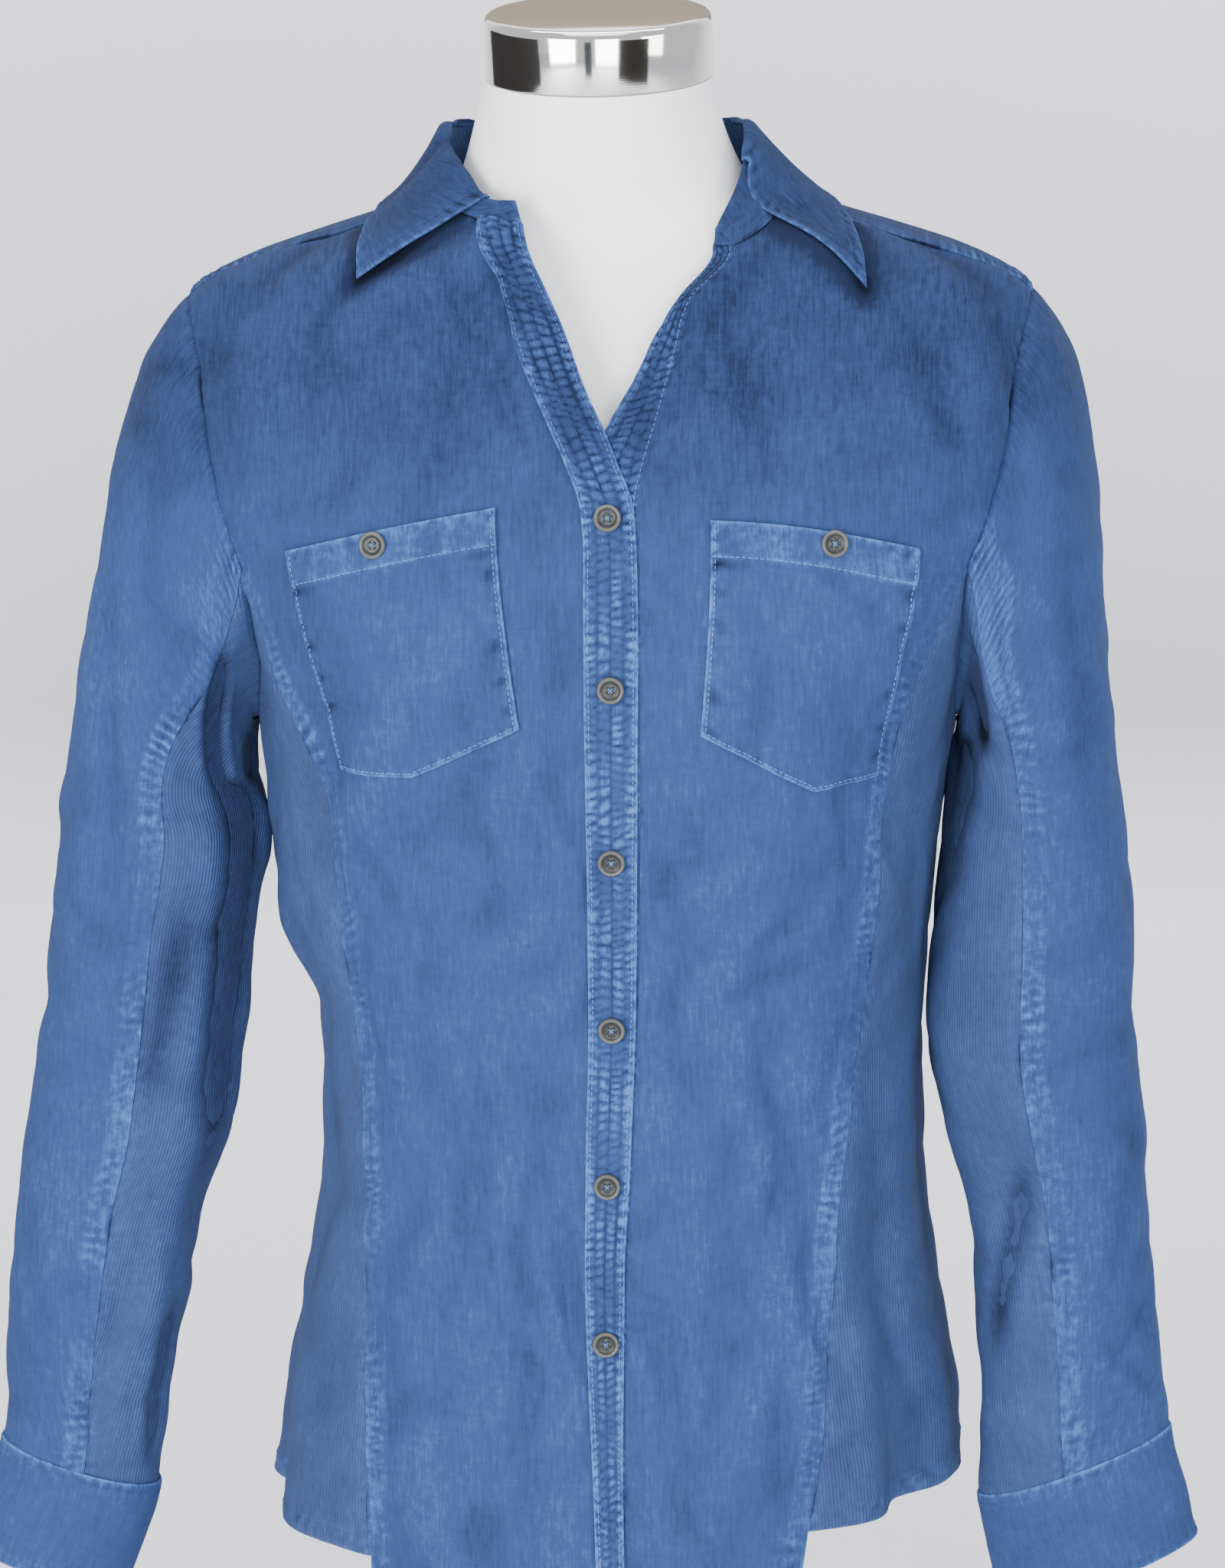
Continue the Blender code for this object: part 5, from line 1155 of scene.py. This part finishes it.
# Crinkled cloth of the bands: rows of small blocks between lengthwise stitch lines, each block a
# product of rounded humps across and along, with its own length and shift in every row.
def crinkle(u, v, frames):
    across, along = frames["start"]
    rows = np.clip(across / (across + frames["end"][0]), 0, 1) * 4
    k = np.clip(np.floor(rows), 0, 3)
    inRow = rows - k
    swing = 0.40 * np.sin(along / 0.013 + 1.7 * k) + 0.28 * np.sin(along / 0.0057 + 2.9 * k)
    tilt = (inRow - 0.5) * 0.5 * np.sin(along / 0.0091 + 1.3 * k)
    phase = along / (0.0047 + 0.0004 * np.sin(2.3 * k)) + 0.41 * k + swing + tilt
    block = np.abs(np.sin(np.pi * phase)) ** 0.6 * np.abs(np.sin(np.pi * inRow)) ** 0.35
    size = 0.72 + 0.28 * np.sin(np.floor(phase) * 12.9898 + k * 78.233)
    inside = 1 - np.exp(-((np.minimum(across, frames["end"][0]) / 0.0016) ** 2))
    # block tops paler with wear and painted highlight; the gaps between blocks darker with painted shade
    return ((0.00135 * block * size - 0.00065) * inside, 1.3 * np.clip(block * size - 0.40, 0, 1),
            0.95 * np.clip(0.62 - block, 0, 1) * inside)


def standEndDirection():
    turn = np.radians(180 + collar.rows[0, 0])
    return np.array((-np.cos(turn), -np.sin(turn), 0))


def addBands():
    for word, side, lift, rests in (("upper", right, cloth["wall"] + cloth["layerGap"], "front_right"),
                                    ("under", left, 0, "form_body")):
        heights = centreHeights(side)
        freeTop = 0.8471 if side == right else 0.8366

        def spots(u, v):
            seam = np.interp(v, np.linspace(0, 1, len(heights)), heights)
            free = np.where(seam < 0.70, seam, np.interp(seam, (0.70, heights[-1]), (0.70, freeTop)))
            angle = bands(f"{word}_seam", seam) * (1 - u) + bands(f"{word}_free", free) * u
            return angle, seam * (1 - u) + free * u, free

        def surface(u, v):
            angle, height, free = spots(u, v)
            place = onBody(angle, height)
            if side == left:
                place = place - unit(place * (1, 1, 0)) * (bands("sink", free) * u)[..., None]
            raised = lift + lift * 0.4 * ease((height - 0.80) / 0.05)
            return place + bodyNormal(angle, height) * raised[..., None]

        def direction(u, v):
            normal = bodyNormal(*spots(u, v)[:2])
            if side == left:
                tilt = normalOf(surface, np.clip(u, 0.02, 0.98), np.clip(v, 0.003, 0.997), 0.02, 0.002)
                tilt = tilt * np.sign(np.sum(tilt * normal, -1, keepdims=True))
                normal = unit(normal * (1 - ease(u * 4))[..., None] + tilt * ease(u * 4)[..., None])
            return normal

        if side == left:
            share = np.linspace(0, 1, 21)[:, None]
            atSeam = neckDirection(np.array((seams["standCorner"],)))
            aim = unit(atSeam * (1 - share) + standEndDirection() * share)
        else:
            aim = neckDirection(180 - np.abs(spots(np.linspace(0, 1, 21), np.ones(21))[0]))
        addPanel(f"{word}BandCloth", f"band_{word}", (0.026, 0.80), surface, direction,
                 dict(start="under" if side == left else "binding", end="binding", bottom="binding",
                      top="plain"),
                 dict(top=aim), step=(0.0011, 0.0011), crumples=0.5, extra=crinkle, seed=11, finish="band",
                 rests=rests, stitches=[(edge, stitchAt["edge"]) for edge in ("start", "end")])


def addStand():
    first, last = collar.rows[0, 0], collar.rows[-1, 0]
    # the shares that the CAD gives each stretch of the neckline
    atYoke = 180 - seams["yokeAtNeck"]
    knots = np.array((first, seams["standCorner"], -atYoke, atYoke, 138, last))
    shares = np.array((0, 0.012, 0.14, 0.84, 0.95, 1))

    def direction(u, v):
        around = np.interp(u, shares, knots)
        turn = ease((seams["standCorner"] + 2 - around) / 3)[..., None]
        return unit(standNormal(around, np.clip(v, 0.03, 0.97)) * (1 - turn) + standEndDirection() * turn)

    rounds = np.interp(np.linspace(0, 1, 201), shares, knots)
    addPanel("collarStandCloth", "collar_stand", (0.46, 0.036),
             lambda u, v: onStand(np.interp(u, shares, knots), v), direction,
             dict(start="free", end="free", bottom="welt", top="under"),
             dict(bottom=neckDirection(np.maximum(rounds, seams["standCorner"]))), [("bottom", shares[1])],
             step=(0.002, 0.0015), crumples=0.25, seed=12, rests="yoke",
             stitches=(("bottom", stitchAt["stand"]),))


def addFall():
    wide, high = 180, 120   # cells of the grid that holds the fall's middle
    angles = np.linspace(*fall["ends"], wide + 1)
    roll, edge = collarPlace("roll", angles), collarPlace("edge", angles)
    away = unit((edge - roll) * (1, 1, 0))
    crest = roll + away * fall["rollOut"] * 0.35 + np.array((0, 0, fall["rollRise"]))
    hung = onFall(angles[None], np.linspace(0, 1, 41)[:, None])
    rows = np.concatenate(((roll + np.array((0, 0, 0.0006)))[None], crest[None], hung[:1],
                           keptOff(hung[1:], fall["offShirt"])))
    length = lineLengths(rows, 0)
    length = length / length[-1]
    grid = np.empty((high + 1, wide + 1, 3))
    for j in range(wide + 1):
        for k in range(3):
            # dyed shell-like plastic: mottled grey, paler on the rim with rubbed wear and painted highlight
            grid[:, j, k] = np.interp(np.linspace(0, 1, high + 1), length[:, j], rows[:, j, k])
    for _ in range(3):
        grid[1:-1] = (grid[:-2] + 2 * grid[1:-1] + grid[2:]) / 4

    def surface(u, v):
        x, y = u * wide, (1 - v) * high
        j, i = np.clip(x.astype(int), 0, wide - 1), np.clip(y.astype(int), 0, high - 1)
        a, b = (x - j)[..., None], (y - i)[..., None]
        return (grid[i, j] * (1 - a) * (1 - b) + grid[i, j + 1] * a * (1 - b)
                + grid[i + 1, j] * (1 - a) * b + grid[i + 1, j + 1] * a * b)

    def direction(u, v):
        normal = -normalOf(surface, np.clip(u, 0.012, 0.988), np.clip(v, 0.02, 0.98), 0.01, 0.015)
        out = np.array((0, 0, 1.0)) + unit(surface(u, v) * (1, 1, 0))
        return normal * np.sign(np.sum(normal * out, -1, keepdims=True))

    addPanel("collarFallCloth", "collar_fall", (0.56, 0.075), surface, direction,
             dict(start="free", end="free", bottom="free", top="under"), step=(0.0022, 0.0018), crumples=0.55,
             seed=13, rests="collar_stand", held="folded",
             stitches=[(edge, stitchAt["seam"]) for edge in ("start", "end", "bottom")])


def addPocket(side, word):
    corner = {key: np.array(value) * (side, 1) for key, value in pocket[side].items()}
    share = np.linspace(0, 1, 8 * fine + 1)[:, None]
    between = lambda first, last, t: corner[first] + (corner[last] - corner[first]) * t
    top = between("innerTop", "outerTop", share) + np.sin(np.pi * share) * pocket[side]["arch"]
    foot = np.where(share < 0.5, between("innerFoot", "point", share * 2),
                    between("point", "outerFoot", share * 2 - 1))
    down = np.linspace(0, 1, 7 * fine + 1)[:, None]
    place = filled(foot, top, between("innerFoot", "innerTop", down), between("outerFoot", "outerTop", down))

    # A pocket stands a little proud in the middle, by a product of two half waves. Its hem is doubled and
    # its sides drag in short creases, darkened with painted shade.
    def full(u, v, frames):
        belly = np.sin(np.pi * u) * np.sin(np.pi * np.clip(v * 1.15, 0, 1)) * 0.0012
        away, along = frames["top"]
        welt = 1 - ease((away - stitchAt["pocketHem"]) / 0.0012)
        line = np.exp(-(((away - stitchAt["pocketHem"]) / 0.0009) ** 2))
        wavy = 0.5 + 0.5 * np.sin(along / 0.0034 + 2.1 * np.sin(along / 0.0125 + side))
        pale = 0.34 * welt * (0.35 + 0.65 * wavy) + 0.5 * line
        sunk = 0 * u
        for edge in ("start", "end"):
            near, down = frames[edge]
            drag = np.sin(down / 0.0034 + 1.8 * np.sin(down / 0.0105 + side + len(edge))) - 0.35
            sunk = sunk + np.clip(drag, 0, 1) * np.exp(-(((near - 0.0045) / 0.0034) ** 2)) * (1 - welt)
            sunk = sunk + 0.8 * np.exp(-(((away - 0.0205) / 0.0020) ** 2) - ((near / 0.012) ** 2))
        # painted shade in the side creases and below the hem's corners
        return belly + 0.0006 * welt - 0.0003 * line - 0.0005 * sunk, pale, 0.05 * line + 0.75 * sunk

    addPanel(f"{word}PocketCloth", f"pocket_{word}", (0.10, 0.13), *overBody(place),
             dict(start="patch", end="patch", bottom="patch", top="free"), (), [("bottom", 0.5)],
             step=(0.0017, 0.0017), lift=cloth["pocketLift"], extra=full, cutPlace=drumCut, seed=14 + side,
             rests=f"front_{word}", held="laid",
             stitches=[("top", stitchAt["pocketHem"]), ("start", stitchAt["edge"]),
                       ("end", stitchAt["edge"]), ("bottom", stitchAt["edge"])])


# Rings of a profile turned round an axis: one for each row but the first and the last.
def turned(profile, segments):
    turn = np.linspace(0, 2 * np.pi, segments, endpoint=False)
    r, z = profile[1:-1, 0][:, None], profile[1:-1, 1][:, None]
    return np.stack((r * np.cos(turn), r * np.sin(turn), z + 0 * turn), -1)


# ---- buttons: a dish with a rolled rim, turned from a profile, with four wells pressed into its middle

def addButtonPiece(node, point, normal):
    r, t = button["radius"], button["thickness"]
    hole, segments = 0.0011, 40
    # distance from the axis, height, and wear with a painted highlight on the rim
    profile = np.array((
        (0, 0, 0), (r - 0.0012, 0, 0.3), (r - 0.0002, 0.0005, 0.6), (r, 0.0012, 0.9),
        (r - 0.0003, t - 0.0004, 1.1), (r - 0.0009, t, 1.2), (r - 0.0017, t - 0.0002, 1.0),
        (r - 0.0022, t - 0.0009, 0.35),
        (r - 0.0030, t - 0.0013, 0.3), (0.0026, t - 0.0013, 0.42), (0.0021, t - hole, 0.5),
        (0.0016, t - hole, 0.5),
        (0.0011, t - hole, 0.5), (0.0006, t - hole, 0.5), (0, t - hole, 0)))
    rings = turned(profile, segments)
    x, y, z = np.moveaxis(rings, -1, 0)
    wells = sum(np.exp(-(((x - a) ** 2 + (y - b) ** 2) / 0.00058**2) ** 2)
                for a, b in ((hole, hole), (-hole, hole), (hole, -hole), (-hole, -hole))) * (z > 0.001)
    rings[..., 2] -= 0.0008 * wells
    spin = np.array(Vector(normal).to_track_quat("Z", "Y").to_matrix())
    put = lambda points: points @ spin.T + point
    made = closeRings(node.replace("button", "shell"), node, put(rings), put(np.zeros(3)),
                      put(np.array((0, 0, profile[-1, 1]))), finishes["button"])
    # the rim's paleness is rubbed wear and painted highlight; the four wells are darker
    rubbed = np.repeat(profile[1:-1, 2], segments) - 0.6 * wells.ravel()
    setPoints(made, "wear", np.concatenate(([0.3], rubbed, [0.5])))
    bars = []
    for a, b, c, d in ((1, 1, -1, -1), (-1, 1, 1, -1)):
        ends = np.array(((a, b, 0), (c, d, 0))) * hole + (0, 0, profile[-1, 1] + 0.00015)
        up = np.repeat(np.asarray(normal)[None], 3, 0)
        bars.append(stitchBars(put(np.linspace(ends[0], ends[1], 3)), up,
                               dict(length=0.0032, pitch=0.00305, width=0.0006, rise=0.0003)))
    return bars


def addButtons():
    bars = []

    def sew(word, place, normal, lift):
        bars.extend(addButtonPiece(f"button_{word}", place + normal * lift, normal))

    for number, height in enumerate(button["heights"], 1):
        angle = (bands("upper_seam", height) + bands("upper_free", height)) / 2
        sew(f"front_{number}", onBody(angle, height), bodyNormal(angle, height),
            2 * cloth["wall"] + cloth["layerGap"] + 0.0009)
    for side, word in sides:
        angle, height = side * pocket[side]["button"][0], pocket[side]["button"][1]
        sew(f"pocket_{word}", onBody(angle, height), bodyNormal(angle, height),
            cloth["pocketLift"] + cloth["wall"] + 0.0012)
        around, along = seams["sleeveBack"] + 14.0, (alongAt(side, cuffTop[side]) + 2) / 2
        sew(f"cuff_{word}", onSleeve(side)(around, along), sleeveNormal(side, around, along),
            2 * cloth["cuffLift"] + cloth["wall"] + 0.0007)
    addStitches("buttonThread", bars, finishes["thread"])


# ---- the display form

# The torso: rounded boxes with their own centres, tipped by their lean.
def formPlace(turn, height):
    radius = ringRadius(form, turn, height)
    x, y = radius * np.sin(turn), -radius * np.cos(turn)
    tip = np.tan(np.radians(form("lean", height)))
    return np.stack((x + form("centre_x", height), y + form("centre_y", height), height + y * tip), -1)


# A closed stack of rings for a CAD node, each end drawn in to a point.
def closeRings(name, node, rings, low, high, finish, sharp=0.8):
    count, segments = rings.shape[:2]
    points = np.concatenate(([low], rings.reshape(-1, 3), [high]))
    k = np.arange(segments)
    n = (k + 1) % segments
    top = 1 + (count - 1) * segments
    faces = [face for first in range(1, top, segments) for face in np.stack(
        (first + k, first + n, first + segments + n, first + segments + k), -1).tolist()]
    faces += np.stack((0 * k, 1 + n, 1 + k), -1).tolist()
    faces += np.stack((0 * k + len(points) - 1, top + k, top + n), -1).tolist()
    made = addMesh(name, points, faces, finish, sharp)
    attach(made, "root")
    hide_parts(node)
    return made


def addForm():
    segments = 120
    turn = np.linspace(0, 2 * np.pi, segments, endpoint=False)
    runs = ((0.205, 0.240, 12), (0.245, 0.80, 90), (0.803, 0.912, 50))
    heights = np.concatenate([np.linspace(*run) for run in runs])
    rings = formPlace(turn[None, :], np.broadcast_to(heights[:, None], (len(heights), segments)))
    closeRings("torsoShell", "form_body", rings, rings[0].mean(0), rings[-1].mean(0),
               finishes["skin"])

    def lathe(name, node, finish, profile, matrix=Matrix.Identity(4), count=96):
        profile = np.array(profile)
        spin, shift = np.array(matrix.to_3x3()), np.array(matrix.translation)
        place = lambda points: points @ spin.T + shift
        low, high = (place(np.array((0, 0, profile[k, 1]))) for k in (0, -1))
        closeRings(name, node, place(turned(profile, count)), low, high, finishes[finish], 0.7)

    top = 0.912
    centre = Vector((float(form("centre_x", top)), float(form("centre_y", top)), top))
    tilt = Matrix.Translation(centre) @ Matrix.Rotation(np.radians(stand["capTilt"]), 4, "X")
    r, h, low = stand["capRadius"], stand["capHeight"], 0.0003
    lathe("neckCap", "form_neck_cap", "chrome", (
        (0, low), (r - 0.0006, low), (r - 0.0001, low + 0.0004), (r, low + 0.0010), (r, h * 0.5),
        (r, h - 0.0045),
        (r - 0.0004, h - 0.0028), (r - 0.0014, h - 0.0012), (r - 0.0028, h - 0.0003), (r - 0.0045, h),
        (r - 0.012, h + 0.0014), (r - 0.03, h + 0.0021), (0, h + 0.0024)), tilt)
    foot, head, rod = stand["baseHeight"] + 0.0003, 0.205 - 0.0003, stand["postRadius"]
    lathe("postTube", "form_post", "chrome", (
        (0, foot), (rod - 0.0004, foot), (rod, foot + 0.0004), (rod, head - 0.0004), (rod - 0.0004, head),
        (0, head)), count=64)
    r, h = stand["baseRadius"], stand["baseHeight"]
    lathe("basePlate", "form_base", "skin", (
        (0, 0), (r - 0.001, 0), (r - 0.0003, 0.0003), (r, 0.001), (r, h - 0.005), (r - 0.0008, h - 0.003),
        (r - 0.002, h - 0.0016), (r - 0.004, h - 0.0008), (r - 0.008, h - 0.0003), (r - 0.03, h), (0, h)),
        count=128)


# ---- floor and backdrop

cards = (  # start and end on the floor's plan, low and high, colour: what the chrome mirrors beside the lamps
    ((-2.0, -1.30), (-1.9, 1.60), 0.10, 1.00, (0.010, 0.009, 0.008)),
    ((-0.42, -2.45), (-0.12, -2.45), 0.05, 0.86, (0.030, 0.055, 0.060)),
    ((0.90, -2.05), (1.85, -1.30), 0.10, 1.00, (0.014, 0.011, 0.008)),
    ((-0.8, 1.55), (0.8, 1.55), 1.02, 1.95, (0.16, 0.14, 0.105)),
)


def addStage():
    # one sheet: level floor, then a wide curve up to a level wall
    profile = [(y, 0.0) for y in np.linspace(-4.0, 1.6, 12)]
    profile += [(1.6 + 1.2 * np.sin(a), 1.2 - 1.2 * np.cos(a)) for a in np.linspace(0.1, np.pi / 2, 18)]
    profile = np.array(profile + [(2.8, z) for z in np.linspace(1.5, 4.5, 6)])
    xs = np.array((-5.0, 5.0))
    points = np.stack(np.broadcast_arrays(xs[None, :], profile[:, :1], profile[:, 1:]), -1).reshape(-1, 3)
    finish = startFinish("pale paper", (0.70, 0.70, 0.745), 0.9)[0]
    addMesh("backdrop", points, gridFaces(len(profile), 2).tolist(), finish)
    for k, (start, end, low, high, colour) in enumerate(cards):
        corners = np.array(((*start, low), (*end, low), (*end, high), (*start, high)))
        finish = startFinish(f"card {k + 1}", colour, 0.9)[0]
        addMesh(f"card_{k + 1}", corners, [[0, 1, 2, 3]], finish)


print("camera, lamps and stage")
addCamera()
addLamps()
addStage()
print("body of the shirt")
for side, word in sides:
    addFront(side, word)
    addSide(side, word)
addBack()
addYoke()
print("sleeves and cuffs")
for side, word in sides:
    addSleeve(side, word)
    addCuff(side, word)
print("bands and collar")
addBands()
addStand()
addFall()
print("pockets, stitches and buttons")
for side, word in sides:
    addPocket(side, word)
for node, bars in threads.items():
    if bars:
        pale = node.startswith(("pocket", "band"))
        addStitches(f"{node}_stitches", bars, finishes["thread" if pale else "seam thread"])
addButtons()
print("display form")
addForm()
